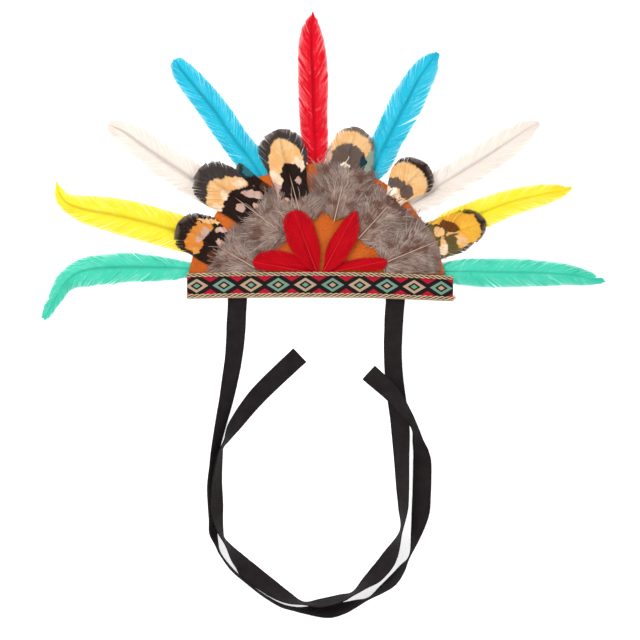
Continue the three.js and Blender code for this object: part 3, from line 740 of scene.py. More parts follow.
# %% Ribbon and its cords
ROPE_LAY = 12.6  # one full turn of a strand
ROPE_SEAT = 1.05  # the cords' middle above the trim's seat
ROPE_OVERHANG = 0.6  # how far they stand out at the trim's ends
# ahead is in turns; aside and up are how far a strand swings; flat is its height for its width
CORE = {"ahead": 0, "aside": 0, "up": 0, "radius": 1.15, "flat": 0.3}
LIGHT = {"aside": 1.05, "up": 0.5, "radius": 0.52, "flat": 0.8}
STRANDS = [LIGHT | {"ahead": turns} for turns in (0, 1 / 3, 2 / 3)] + [CORE]


def build_ribbon():
    """The ribbon as a closed strip, its cut ends a little frayed."""
    xs = np.linspace(-TRIM_LENGTH / 2, TRIM_LENGTH / 2, 401)
    down, up = (np.array(column) for column in zip(*RIBBON_SECTION))
    weave = 0.04 * np.sin(down * 2 * np.pi / 1.1)
    grid_x, grid_down = np.meshgrid(xs, down, indexing="ij")
    fray = 0.25 * np.sin(down * 5.1) + 0.15 * np.sin(down * 11.7)
    grid_x[0] += fray
    grid_x[-1] -= fray
    points = ribbon_spot(grid_x, grid_down, up + weave + 0 * grid_x)
    layer = np.stack([grid_x, grid_down, 0 * grid_x], -1)
    return points.reshape(-1, 3), tube_faces(len(xs), len(down)), {"weave": layer.reshape(-1, 3)}


def build_rope(down, slant):
    """Three strands twisted round a core, along one edge of the ribbon. slant is 1 or -1."""
    xs = np.linspace(-TRIM_LENGTH / 2 - ROPE_OVERHANG, TRIM_LENGTH / 2 + ROPE_OVERHANG, 420)
    grid_x, round_it = np.meshgrid(xs, np.linspace(0, 2 * np.pi, 9)[:-1], indexing="ij")
    twist = slant * grid_x / ROPE_LAY * 2 * np.pi
    parts = []
    for number, strand in enumerate(STRANDS):
        here = twist + strand["ahead"] * 2 * np.pi
        slope = -slant * strand["aside"] * np.sin(here) * 2 * np.pi / ROPE_LAY
        wide = strand["radius"] * np.sqrt(1 + slope**2)
        side = strand["aside"] * np.cos(here) + wide * np.cos(round_it)
        rise = strand["up"] * np.sin(here) + strand["flat"] * strand["radius"] * np.sin(round_it)
        points = ribbon_spot(grid_x, down - side, ROPE_SEAT + rise)
        layer = np.stack([grid_x, 0 * grid_x + number, round_it], -1)
        parts.append((points.reshape(-1, 3), tube_faces(*grid_x.shape), {"rope": layer.reshape(-1, 3)}))
    return join(parts)


def build_tuft(count=34):
    """Cut ends of the lower cord that stand out past the ribbon's right-hand end."""
    draw = np.random.default_rng(77)
    share = np.linspace(0, 1, 5)[None, :]
    turn = draw.normal(0.25, 0.5, count)[:, None] + draw.normal(0, 0.6, count)[:, None] * share
    reach = draw.uniform(1.2, 3.6, count)[:, None]
    x = TRIM_LENGTH / 2 + 0.2 + reach * share * np.cos(turn)
    down = 17.2 + draw.normal(0, 0.6, count)[:, None] - reach * share * np.sin(turn)
    up = 1.0 + draw.uniform(-0.4, 0.5, count)[:, None] + 0 * x
    points, faces = prisms(ribbon_spot(x, down, up), 0.14 * (1.2 - share) + 0 * x, 0.14)
    layer = np.stack([x, 0 * x, 0 * x + np.pi / 2], -1)
    return points, faces, {"rope": each_corner(layer)}


TRIM_PIECES = {
    # name: its arrays, its finish
    "ribbon_of_diamonds": (build_ribbon(), jacquard),
    "cord_edge_upper": (build_rope(1.55, 1), twisted_cord),
    "cord_edge_lower": (join([build_rope(17.3, -1), build_tuft()]), twisted_cord),
}
ribbon, upper_rope, lower_rope = [
    add_piece(make_mesh(name, *arrays), finish, "trim", "trim_band")
    for name, (arrays, finish) in TRIM_PIECES.items()
]

# %% [markdown]
# ## Feathers
# A feather is a tapered shaft with a row of barbs down each side. Each barb leaves the shaft at a
# slant and bends towards the tip, and its neighbours lie close enough to make one satin vane. We
# could draw that on a flat card, but then the edge would be a clean cut, and light would not catch
# on the barbs. So every barb is a thin closed prism, and its end is where its slant meets the
# feather's outline. Where neighbouring barbs part, the vane splits, as it does on the real one.

# %% The middle line of a feather
FINE_STEPS = 60
BLUNT = 0.3  # how full a pointed feather's last stretch stays, as a share of a round end
ROUNDNESS = 0.6  # the power that shapes a round end


class Spine:
    """Where a feather's shaft runs, how wide its vane is on each side and how high it lies.

    A feather may have a round end, which starts at the station round_from.
    """

    def __init__(self, root, feather, length, width, stations, height, round_from=None):
        place = np.linspace(0, len(stations) - 1, FINE_STEPS * (len(stations) - 1) + 1)
        along = between(stations, place)
        sway = between(feather.get("sway", [0] * len(stations)), place) * length
        angle = math.radians(feather["heading"])
        forward = np.array([math.cos(angle), math.sin(angle)])
        leftward = np.array([-forward[1], forward[0]])
        self.line = np.asarray(root) + along[:, None] * length * forward + sway[:, None] * leftward
        steps = np.linalg.norm(np.diff(self.line, axis=0), axis=1)
        self.arc = np.concatenate(([0], np.cumsum(steps)))
        self.run = unit(np.gradient(self.line, axis=0))
        last = place - (len(stations) - 2)  # above 0 past the last station but one
        blunt = feather.get("blunt", BLUNT) * np.sqrt(1 - np.clip(last, 0, 1) ** 2)
        self.web = {}
        for side, key in ((1, "left"), (-1, "right")):
            web = between(feather[key], place) * width
            if round_from:
                tip = np.clip((along - round_from) / (1 - round_from), 0, 1)
                full = feather[key][stations.index(round_from)] * width
                web = np.where(tip > 0, full * (1 - tip**2) ** ROUNDNESS, web)
            self.web[side] = np.where(last > 0, np.maximum(feather[key][-2] * width * blunt, web), web)
        self.along = along
        self.height = height(along)
        self.length = self.arc[-1]

    def look(self, arc, values):
        """What the spine has at these distances from its root."""
        return np.interp(arc, self.arc, values)

    def spot(self, arc, aside, up=0.0):
        """Points beside the shaft; aside is to the left of its run."""
        x, y = (self.look(arc, self.line[:, axis]) for axis in (0, 1))
        run_x, run_y = (self.look(arc, self.run[:, axis]) for axis in (0, 1))
        return np.stack([x - run_y * aside, y + run_x * aside, self.look(arc, self.height) + up], -1)


# %% Barbs and shaft
THINNEST, WIDEST = 0.06, 0.8  # limits of a barb's half width


def meet_outline(spine, side, roots, lean):
    """Where barbs with these roots meet the feather's outline: how far along and how far aside."""
    slant = np.tan(np.radians(np.interp(roots / spine.length, [0, 1], lean)))
    beyond = spine.arc[None, :] - roots[:, None]
    spare = spine.web[side][None, :] - beyond * slant[:, None]
    meets = (spare <= 0) & (beyond > 0)
    hit = np.where(meets.any(axis=1), meets.argmax(axis=1), len(spine.arc) - 1)
    return spine.arc[hit], spine.web[side][hit]


def grow_barbs(spine, side, count, draw, start=0.0, lean=(52, 24), segments=5, cup=None,
               tousle=0.012, splits=(), rise=0.2, overlap=1.25, wisp=0.0, seat=0.0, ruffle=0.0):
    """One side of a vane.

    lean is the slant at the foot and at the tip, in degrees. cup is how far the edge drops at each
    point of the spine, and seat is how high the barbs start at the foot. tousle and wisp make the
    ends uneven from barb to barb, and ruffle makes them wander over many barbs.
    """
    trial = np.linspace(start, spine.length - 0.6, 4 * count)
    ends, reach = meet_outline(spine, side, trial, lean)
    spread = np.cumsum(np.append(0, np.diff(trial) + np.hypot(np.diff(ends), np.diff(reach))))
    roots = np.interp(np.linspace(0, spread[-1], count), spread, trial)
    ends, reach = meet_outline(spine, side, roots, lean)
    drift = slow_draws(draw, count, 9, 3)
    ends = ends + drift * tousle * spine.length * 0.3 + draw.normal(0, tousle * 12, count)
    reach = reach * (1 + draw.normal(0, tousle + wisp * 0.1, count))
    reach = reach * (1 + ruffle * slow_draws(draw, count, 41, 6.4))
    ends = np.clip(ends, roots + 0.8, spine.length + 0.6)
    for where, wide, gap in splits:
        offset = (ends - where * spine.length) / wide
        ends = ends + gap * np.sign(offset) * np.exp(-(offset**2))
    share = np.append(np.linspace(0, 0.94, segments), 1)
    arc = roots[:, None] + (ends - roots)[:, None] * share**1.3
    aside = side * reach[:, None] * share**0.95
    droop = 0 if cup is None else spine.look(arc, cup)
    lift = draw.normal(0, 0.04, count)[:, None] * share + 0.1 * drift[:, None] * share**2
    lift = lift + seat * (1 - share) * (1 - 0.6 * arc / spine.length)
    paths = spine.spot(arc, aside, lift - droop * share**2)
    run = unit(np.gradient(paths[:, :, :2], axis=1))
    apart = np.diff(paths[:, :, :2], axis=0)
    gap = np.abs(apart[..., 0] * run[:-1, :, 1] - apart[..., 1] * run[:-1, :, 0])
    gap = np.concatenate([gap, gap[-1:]])
    taper = np.interp(share, [0, 0.9, 1], [1, 1, 0.4])
    half = np.clip(0.5 * overlap * gap, THINNEST, WIDEST) * taper
    points, faces = prisms(paths, half, rise, tilt=side * 0.03)
    chance = draw.uniform(size=count)
    vane = np.stack([roots[:, None] + 0 * aside, aside, 0 * aside + share], -1)
    strand = np.stack([chance[:, None] + 0 * aside, spine.length - arc, 0 * aside + side], -1)
    return points, faces, {"vane": each_corner(vane), "strand": each_corner(strand)}


def grow_shaft(spine, thick, thin, sides=8, raised=0.0, heel=None, bare=0.0):
    """The shaft as a tapered tube. It may start at a heel, a bare stretch ahead of the spine."""
    arc = np.linspace(0, spine.length - 0.4, 70)
    paths = spine.spot(arc, 0 * arc, raised * smooth_step((0.55 - arc / spine.length) / 0.2))
    if heel is not None:
        paths = np.concatenate([[heel], paths])
        arc = np.concatenate([[-bare], arc])
    across = left_of(unit(np.gradient(paths[:, :2], axis=0)))
    arc, round_it = np.meshgrid(arc, np.linspace(0, 2 * np.pi, sides + 1)[:-1], indexing="ij")
    radius = thick + (thin - thick) * np.clip(arc / spine.length, 0, 1)
    aside, up = radius * np.cos(round_it), radius * np.sin(round_it)
    points = paths[:, None] + across[:, None] * aside[..., None] + UP * up[..., None]
    vane = np.stack([arc, round_it, 0 * arc - 1], -1).reshape(-1, 3)
    strand = np.stack([0 * arc + 0.5, spine.length - arc, 0 * arc], -1).reshape(-1, 3)
    return points.reshape(-1, 3), tube_faces(*arc.shape), {"vane": vane, "strand": strand}


# %% [markdown]
# ## Dyed goose feathers
# Nine goose feathers fan out from behind the panel. Each row of the table gives where one points, how
# its shaft sways and how wide its vane is. Dye takes unevenly on barbs, so the colour runs in
# streaks along them and is paler at the edge. Broad patches are partly mottled dye and partly painted
# shade of the vane's folds, and the vane is painted deeper beside the shaft as painted shade.

# %% Table of goose feathers
FAN_CENTRE = np.array([-0.0075 * TRIM_LENGTH, TRIM_TOP - 0.102 * PANEL_RADIUS])
QUILL_END = 0.365 * PANEL_RADIUS
VANE_START = 0.833 * PANEL_RADIUS
GOOSE_LENGTH, GOOSE_WIDTH, GOOSE_BOW, GOOSE_CUP = 126.0, 24.5, 4.0, 1.2
GOOSE_QUILL, GOOSE_TIP = 1.2, 0.4
GOOSE_SHAFT, GOOSE_SHAFT_TIP = 0.85, 0.22  # its radii
GOOSE_STATIONS = [0, 0.18, 0.38, 0.6, 0.78, 0.89, 0.95, 1]
GOOSE_ARCH = [0, 0.05, 0.35, 0.9, 1, 0.75, 0.4, 0]
GOOSE = [
    # sway is a share of the length, left and right of the width, one value for each station;
    # splits are (share of the length, how many mm they reach, how far they open)
    {"name": "mint_left", "dye": "mint", "heading": 173, "length": 0.976, "width": 0.98, "bow": 0.8,
     "ruffle": 0.05, "blunt": 0.9,
     "sway": [0, 0.003, 0.021, 0.048, 0.088, 0.172, 0.3, 0.42],
     "left": [0.1, 0.3, 0.44, 0.5, 0.53, 0.31, 0.19, 0],
     "right": [0.1, 0.27, 0.4, 0.43, 0.4, 0.33, 0.25, 0],
     "splits_left": [(0.55, 3, 0.8)], "splits_right": [(0.9, 4, 1.2)]},
    {"name": "yellow_left", "dye": "yellow", "heading": 157, "length": 1.056, "width": 1.14, "bow": 1,
     "sway": [0.016, 0.031, 0.05, 0.086, 0.125, 0.128, 0.1, 0.04],
     "left": [0.1, 0.47, 0.51, 0.475, 0.36, 0.24, 0.16, 0],
     "right": [0.1, 0.45, 0.5, 0.485, 0.41, 0.29, 0.19, 0],
     "splits_left": [(0.8, 3, 0.8)], "splits_right": [(0.93, 3, 1.0)]},
    {"name": "white_left", "dye": "white", "heading": 144, "length": 0.96, "width": 1.06, "bow": 1.125,
     "blunt": 0.9,
     "sway": [-0.083, -0.087, -0.072, -0.062, -0.062, -0.06, -0.05, -0.039],
     "left": [0.1, 0.43, 0.49, 0.49, 0.42, 0.34, 0.25, 0],
     "right": [0.1, 0.43, 0.49, 0.49, 0.42, 0.34, 0.25, 0],
     "splits_left": [(0.7, 3, 0.7)], "splits_right": []},
    {"name": "blue_left", "dye": "blue", "heading": 122, "length": 0.976, "width": 0.9, "bow": 1,
     "blunt": 1,
     "sway": [-0.057, -0.058, -0.038, -0.027, -0.006, 0.008, 0.011, 0.009],
     "left": [0.1, 0.47, 0.5, 0.5, 0.46, 0.39, 0.29, 0],
     "right": [0.1, 0.47, 0.5, 0.5, 0.46, 0.39, 0.29, 0],
     "splits_left": [(0.86, 3, 0.6)], "splits_right": []},
    {"name": "red_centre", "dye": "red", "heading": 91, "length": 1.008, "width": 0.92, "bow": 1.25,
     "sway": [0, 0, 0.006, 0.008, 0.013, 0.013, 0.005, 0.002],
     "left": [0.1, 0.42, 0.5, 0.5, 0.45, 0.34, 0.19, 0],
     "right": [0.1, 0.4, 0.46, 0.5, 0.45, 0.34, 0.19, 0],
     "splits_left": [(0.93, 2.5, 1.0)], "splits_right": [(0.71, 2.5, 0.8)]},
    {"name": "blue_right", "dye": "blue", "heading": 62, "length": 0.937, "width": 1.04, "bow": 1,
     "blunt": 0.7,
     "sway": [0.034, 0.037, 0.039, 0.044, 0.046, 0.038, 0.03, 0.01],
     "left": [0.1, 0.44, 0.48, 0.5, 0.43, 0.34, 0.22, 0],
     "right": [0.1, 0.42, 0.43, 0.49, 0.43, 0.35, 0.22, 0],
     "splits_left": [], "splits_right": [(0.57, 3, 2.2)]},
    {"name": "white_right", "dye": "white", "heading": 36, "length": 1.016, "width": 0.996, "bow": 1.125,
     "blunt": 0.7,
     "sway": [0.065, 0.06, 0.043, 0.026, 0.02, 0.017, 0.016, 0.002],
     "left": [0.1, 0.46, 0.49, 0.5, 0.47, 0.36, 0.25, 0],
     "right": [0.1, 0.46, 0.49, 0.5, 0.47, 0.36, 0.25, 0],
     "splits_left": [(0.75, 3, 0.6)], "splits_right": [(0.85, 3, 0.8)]},
    {"name": "yellow_right", "dye": "yellow", "heading": 21, "length": 1, "width": 0.963, "bow": 1,
     "blunt": 0.6,
     "sway": [0.016, 0.036, 0.046, 0.047, 0.027, 0.01, 0, -0.002],
     "left": [0.1, 0.46, 0.5, 0.44, 0.37, 0.28, 0.17, 0],
     "right": [0.1, 0.46, 0.5, 0.44, 0.37, 0.28, 0.17, 0],
     "splits_left": [], "splits_right": [(0.9, 3, 0.8)]},
    {"name": "mint_right", "dye": "mint", "heading": 3, "length": 1.095, "width": 0.95, "bow": 0.8,
     "sway": [0.032, 0.03, 0.016, 0.002, -0.016, -0.038, -0.053, -0.066],
     "left": [0.1, 0.4, 0.48, 0.45, 0.35, 0.26, 0.16, 0],
     "right": [0.1, 0.4, 0.48, 0.44, 0.35, 0.26, 0.16, 0],
     "splits_left": [(0.96, 3, 2.0)], "splits_right": [(0.4, 3, 0.8)]},
]

# %% Dyed barbs
GOOSE_DYES = {
    # deep in streaks and, as painted shade, by the shaft; plain; pale in streaks and at the edge; shaft
    "mint": [dye(44, 188, 158), dye(84, 220, 192), dye(150, 238, 216), dye(70, 206, 178)],
    "yellow": [dye(246, 214, 22), dye(255, 239, 64), dye(255, 247, 150), dye(240, 206, 50)],
    "white": [dye(232, 220, 208), dye(246, 237, 229), dye(255, 252, 248), dye(222, 206, 190)],
    "blue": [dye(20, 164, 196), dye(48, 204, 230), dye(110, 222, 240), dye(28, 170, 204)],
    "red": [dye(200, 4, 26), dye(232, 12, 40), dye(240, 50, 70), dye(206, 6, 30)],
    "deep_red": [dye(168, 0, 16), dye(204, 0, 24), dye(222, 30, 44), dye(214, 34, 42)],
}


def dyed_finish(name):
    deep, plain, pale, shaft = GOOSE_DYES[name]
    finish = Finish("dyed_" + name, roughness=0.7)
    station, aside, reach = finish.layer("vane")
    chance, _, side = finish.layer("strand")
    streak = finish.noise(finish.vector(station, reach * 1.2, side * 9), 0.55, 4.0, 0.6)
    # Broad patches: partly mottled dye and partly painted shade of the vane's gentle folds.
    mottle_and_fold_shade = finish.noise(finish.vector(station, aside, side * 4), 0.06, 2.0)
    tone = (streak - 0.5) * 1.1 + (mottle_and_fold_shade - 0.5) * 1.4 + (chance - 0.5) * 0.12 + 0.5
    shade = finish.mix(deep, plain, finish.rise(tone, -0.05, 0.5))
    shade = finish.mix(shade, pale, finish.rise(tone, 0.6, 1.15) * 0.7)
    # Painted shade: the vane is darkened beside the shaft, where the raised shaft shades it.
    shade = finish.mix(shade, deep, finish.rise(finish.size(aside), 1.3, 0.3) * 0.25)
    shade = finish.mix(shade, pale, finish.rise(reach, 0.8, 1.0) * 0.2)
    finish.colour(finish.mix(shade, shaft, finish.rise(reach, -0.4, -0.6)))
    return finish


dyes = {name: dyed_finish(name) for name in GOOSE_DYES}
RECORD_SLOTS = {name: "feather_" + name for name in GOOSE_DYES}

# %% Build the fan
BARBS_A_SIDE = 330
GOOSE_SEAT = 0.75  # how high the barbs start at the foot
GOOSE_RUFFLE = 0.012  # how far the vane's edge wanders, as a share of its width
for seed, row in enumerate(GOOSE):
    draw = np.random.default_rng(100 + seed)
    angle = math.radians(row["heading"])
    root = FAN_CENTRE + VANE_START * np.array([math.cos(angle), math.sin(angle)])

    def lie(along, bow=row["bow"]):
        arch = between(GOOSE_ARCH, np.interp(along, GOOSE_STATIONS, range(len(GOOSE_STATIONS))))
        return GOOSE_QUILL + (GOOSE_TIP - GOOSE_QUILL) * along + bow * GOOSE_BOW * arch

    length, width = row["length"] * GOOSE_LENGTH, row["width"] * GOOSE_WIDTH
    spine = Spine(root, row, length, width, GOOSE_STATIONS, lie)
    heel = np.append(FAN_CENTRE + unit(spine.line[0] - FAN_CENTRE) * QUILL_END, GOOSE_SHAFT)
    parts = [grow_shaft(spine, GOOSE_SHAFT, GOOSE_SHAFT_TIP, heel=heel, bare=VANE_START - QUILL_END)]
    cup = GOOSE_CUP * np.interp(spine.along, GOOSE_STATIONS, GOOSE_ARCH)
    for side, splits in ((1, row["splits_left"]), (-1, row["splits_right"])):
        parts.append(grow_barbs(
            spine, side, BARBS_A_SIDE, draw, cup=cup, splits=splits, seat=GOOSE_SEAT,
            ruffle=row.get("ruffle", GOOSE_RUFFLE),
        ))
    mesh = make_mesh("vane_" + row["name"], *join(parts))
    add_piece(mesh, dyes[row["dye"]], RECORD_SLOTS[row["dye"]], "feather_" + row["name"])

# %% [markdown]
# ## Pheasant feathers
# Seven body feathers from a pheasant lie on the panel like the scales of a fan. The outer half of each
# is a close vane with a dark rim and a pale band round a dark heart. The inner half is down: soft loose
# barbs that cover the felt between the feathers. The markings are laid one over the other as ovals
# in each feather's own directions, with a ragged edge, because each barb changes colour at its
# own length.

# %% Table of pheasant feathers
PHEASANT_LENGTH, PHEASANT_WIDTH, PHEASANT_LIFT = 74.0, 34.0, 2.0
FRONT_LAYER, LAYER_STEP = 5.05, 1.25
PHEASANT_STATIONS = [0, 0.1, 0.25, 0.4, 0.55, 0.7, 0.83, 0.92, 0.97, 1]
MARK_COLOURS = {
    "black": dye(40, 27, 25), "grey": dye(106, 92, 88), "slate": dye(64, 58, 58),
    "dove": dye(124, 108, 100), "umber": dye(110, 68, 30),
    "cream": dye(232, 194, 142), "orange": dye(220, 146, 64), "gold": dye(232, 182, 66),
    "amber": dye(222, 168, 96),
    "pink": dye(206, 176, 166), "pale": dye(238, 218, 196), "white": dye(238, 232, 224),
    "brown": dye(92, 54, 40), "olive": dye(104, 92, 56), "teal": dye(54, 118, 128),
    "mist": dye(150, 166, 150),
    "dark_teal": dye(30, 58, 66), "fluff": dye(146, 124, 114),
}
PHEASANTS = [
    # x and y place the root, as shares of the panel's radius from the trim's upper edge; marks are
    # (colour, from the tip, aside to the left, half size along, half size aside, turn), in mm
    {"name": "left_lower", "x": -0.513, "y": 0.032, "layer": 0, "heading": 150, "length": 0.908,
     "width": 0.956, "lift": 0.5, "down": 0.43, "rim": "black",
     "left": [0.03, 0.18, 0.34, 0.45, 0.49, 0.48, 0.49, 0.37, 0.23, 0],
     "right": [0.03, 0.18, 0.28, 0.38, 0.47, 0.53, 0.45, 0.3, 0.17, 0],
     "splits": [(0.93, 1.2, 0.9), (0.8, 1.2, 0.8)],
     "marks": [
         ("black", 30, 0, 12, 17, 0), ("orange", 17.8, 4.5, 7.4, 9.5, 0), ("orange", 18.5, -6, 8.5, 4.2, -40),
         ("amber", 22, 10.5, 3, 3, 0), ("pink", 22, -4, 3.6, 4.6, -30), ("pink", 20.5, 1.5, 2.8, 4.4, 20),
         ("cream", 20, -13.5, 8.5, 2, -21), ("orange", 14.3, -8, 3, 1.2, -15), ("black", 28, -1, 4.4, 9, 0),
         ("pink", 33.5, -13, 7, 2.4, -24), ("pink", 35.5, -3, 3, 3, 0), ("black", 38.4, -10.5, 5.5, 3, -24),
         ("brown", 36, 8, 5, 5, 0), ("fluff", 49, 0, 8, 18, 0),
     ]},
    {"name": "left_middle", "x": -0.355, "y": 0.348, "layer": 1, "heading": 143, "length": 0.977,
     "width": 1.015, "lift": 0.5, "down": 0.27, "rim": "slate",
     "left": [0.03, 0.26, 0.39, 0.42, 0.45, 0.5, 0.5, 0.41, 0.26, 0],
     "right": [0.03, 0.26, 0.39, 0.45, 0.44, 0.5, 0.44, 0.29, 0.16, 0],
     "splits": [(0.97, 1, 0.9), (0.92, 1, 0.9), (0.86, 1, 0.7)],
     "marks": [
         ("black", 42, 0, 16, 18, 0), ("cream", 22, 3, 9, 9, 0), ("cream", 24.5, 12, 7.5, 5.8, 0),
         ("cream", 28, -8.5, 9.8, 5, -33), ("pale", 28, 3, 4, 3.6, 0), ("pale", 28.5, 14, 4, 3, 0),
         ("pale", 31, -10, 5, 2.6, -33), ("black", 37.5, 2, 7, 7.5, 0), ("pink", 45, -11, 9, 3, -31),
         ("pink", 42.3, 3.6, 4, 3, 0), ("pink", 52, -4, 3, 2, 0), ("fluff", 61, 0, 7, 18, 0),
     ]},
    {"name": "left_inner", "x": -0.236, "y": 0.372, "layer": 0, "heading": 130, "length": 0.815,
     "width": 0.706, "lift": 0, "down": 0.42, "rim": "dark_teal",
     "left": [0.04, 0.13, 0.27, 0.43, 0.52, 0.48, 0.39, 0.29, 0.17, 0],
     "right": [0.04, 0.21, 0.35, 0.37, 0.29, 0.19, 0.13, 0.08, 0.06, 0],
     "splits": [],
     "marks": [
         ("teal", 9, -2, 5, 4, 0), ("black", 20, 3, 7, 12, 0), ("pink", 17.5, 10, 1.5, 3.4, 40),
         ("pink", 21.5, 5.5, 1.5, 3.4, -30), ("brown", 26, -4, 3, 4, 0), ("black", 30, 4, 4, 8, 0),
         ("fluff", 42, 0, 8, 14, 0),
     ]},
    {"name": "left_top", "x": -0.134, "y": 0.372, "layer": 1, "heading": 105, "length": 1.003,
     "width": 1.03, "lift": 0.5, "down": 0.25, "behind": -0.01, "rim": "slate",
     "left": [0.03, 0.26, 0.4, 0.37, 0.41, 0.49, 0.52, 0.39, 0.26, 0],
     "right": [0.03, 0.24, 0.31, 0.31, 0.39, 0.49, 0.45, 0.35, 0.21, 0],
     "splits": [(0.95, 1.5, 0.8), (0.78, 2, 1.0)],
     "marks": [
         ("black", 43, -1, 15, 16, 0), ("cream", 17, 0.6, 9.6, 8.6, 0), ("cream", 24, 7.8, 9, 5.4, 0),
         ("cream", 24.5, -7.5, 10.5, 5.4, 0), ("pale", 30, -8.5, 6, 3.8, 0), ("pale", 38, 11, 9, 4.2, -6),
         ("pink", 44, 12, 6, 3.4, 0), ("black", 36, -2, 9.6, 6.2, 0), ("black", 47.5, 3, 8, 7.4, 0),
         ("pink", 41.6, -5, 2.2, 3, 0), ("pink", 53.5, 8.5, 2, 4, 0), ("fluff", 64, 0, 6, 15, 0),
     ]},
    {"name": "right_top", "x": 0.11, "y": 0.395, "layer": 0, "heading": 76.5, "length": 0.991,
     "width": 1.088, "lift": 1, "down": 0.57, "behind": -0.05, "rim": "dove",
     "left": [0.03, 0.24, 0.38, 0.43, 0.45, 0.47, 0.39, 0.29, 0.18, 0],
     "right": [0.03, 0.23, 0.39, 0.5, 0.54, 0.5, 0.44, 0.34, 0.2, 0],
     "splits": [(0.985, 0.8, 0.4)],
     "marks": [
         ("cream", 16.2, 0.5, 12.2, 15.6, 0), ("mist", 23, -15.5, 9, 3.6, 6),
         ("grey", 25.5, 1, 11.6, 13.6, 0),
         ("dark_teal", 25, -11, 4.6, 2.6, 0),
         ("pink", 28, 15, 7, 2.6, 0), ("white", 26.5, 1.2, 4.5, 0.7, 0), ("white", 30.5, 1.4, 1.8, 3.6, 0),
         ("fluff", 42, 0, 8.5, 19, 0),
     ]},
    {"name": "right_middle", "x": 0.3, "y": 0.26, "layer": 0, "heading": 47.5, "length": 1.036,
     "width": 1.06, "lift": 1.25, "down": 0.5, "behind": 0.0, "rim": "black",
     "left": [0.03, 0.21, 0.33, 0.26, 0.22, 0.44, 0.49, 0.39, 0.26, 0],
     "right": [0.03, 0.21, 0.28, 0.25, 0.2, 0.32, 0.43, 0.38, 0.27, 0],
     "splits": [(0.9, 1.3, 0.8)],
     "marks": [
         ("pale", 36, 0, 7, 14, 0), ("cream", 20.3, 1.5, 13, 16.6, 0), ("grey", 26.3, 7.4, 4, 8.6, -26),
         ("grey", 26, -3, 4.8, 5.8, 30), ("white", 32.6, 4, 3, 4.4, 0), ("brown", 41, 0, 5, 9, 0),
         ("fluff", 54, 0, 8, 14, 0),
     ]},
    {"name": "right_lower", "x": 0.529, "y": 0.079, "layer": 0, "heading": 22.5, "length": 1.084,
     "width": 0.94, "lift": 1, "down": 0.43, "behind": 0.05, "rim": "black",
     "left": [0.03, 0.27, 0.5, 0.53, 0.5, 0.47, 0.45, 0.39, 0.25, 0],
     "right": [0.03, 0.19, 0.33, 0.42, 0.44, 0.47, 0.38, 0.26, 0.16, 0],
     "splits": [(0.84, 1.6, 1.2), (0.7, 2, 1.0)],
     "marks": [
         ("olive", 34, 0, 10, 18, 0), ("gold", 14.5, 0, 9.2, 11.6, 0), ("gold", 20, 10, 9.5, 5.2, 36),
         ("gold", 19.5, -6, 9, 4.6, -34), ("cream", 22.5, -6.5, 4, 5.6, -30), ("umber", 29, 8, 9.5, 4.2, 37),
         ("olive", 29, -4, 3.4, 6.6, 0), ("cream", 27, 1.2, 5, 1, 0), ("cream", 35.5, 6, 4, 4, 0),
         ("cream", 35.5, -3, 2.4, 5, 0), ("pale", 38, -8, 4, 4, 0), ("gold", 33, 15, 7, 3, 0),
         ("fluff", 47, 0, 7, 18, 0),
     ]},
]


# %% Markings as ragged ovals
def pheasant_finish(row):
    finish = Finish("pheasant_" + row["name"], roughness=0.72)
    station, aside, reach = finish.layer("vane")
    chance, from_tip, side = finish.layer("strand")
    jag = (chance - 0.5) * 0.8
    warp = (finish.noise(finish.vector(station, aside * 0.6, side), 0.2, 4.0, 0.6) - 0.5) * 7
    tip = from_tip + jag + warp
    left = aside + (finish.noise(finish.vector(from_tip, aside, 7.0), 0.2, 3.0, 0.6) - 0.5) * 7
    streak = finish.noise(finish.vector(station, reach * 1.5, side * 5), 0.9, 4.0, 0.6)
    shade = finish.mix(MARK_COLOURS[row["rim"]], dye(128, 110, 102), finish.rise(streak, 0.5, 0.75) * 0.3)
    edge = finish.rise(reach + finish.rise(from_tip, 9, 0) * 0.5, 0.8, 1.3)
    shade = finish.mix(shade, dye(122, 106, 100), edge * 0.6)
    down_start = row["length"] * PHEASANT_LENGTH * 0.5
    shade = finish.mix(shade, MARK_COLOURS["fluff"], finish.rise(tip, down_start, down_start + 6))
    for colour, from_end, off, along, wide, turn in row["marks"]:
        cosine, sine = math.cos(math.radians(turn)), math.sin(math.radians(turn))
        run = (tip - from_end) * (cosine / along) + (left - off) * (sine / along)
        cross = (left - off) * (cosine / wide) - (tip - from_end) * (sine / wide)
        inside = finish.rise(run * run + cross * cross, 1.16, 0.86)
        shade = finish.mix(shade, MARK_COLOURS[colour], inside)
    cloud = finish.noise(finish.vector(from_tip, aside, 3.0), 0.2, 3.0)
    shade = shade * finish.mix(dye(255, 240, 222), dye(255, 255, 255), finish.rise(cloud, 0.4, 0.6))
    lighter = shade * finish.grey(0.8 + streak * 0.5)
    shaft = finish.mix(dye(200, 164, 144), dye(176, 140, 120), finish.rise(from_tip, 50, 30))
    bare = finish.rise(reach, -0.4, -0.6) * finish.rise(from_tip, 32, 42)
    finish.colour(finish.mix(lighter, shaft, bare))
    return finish


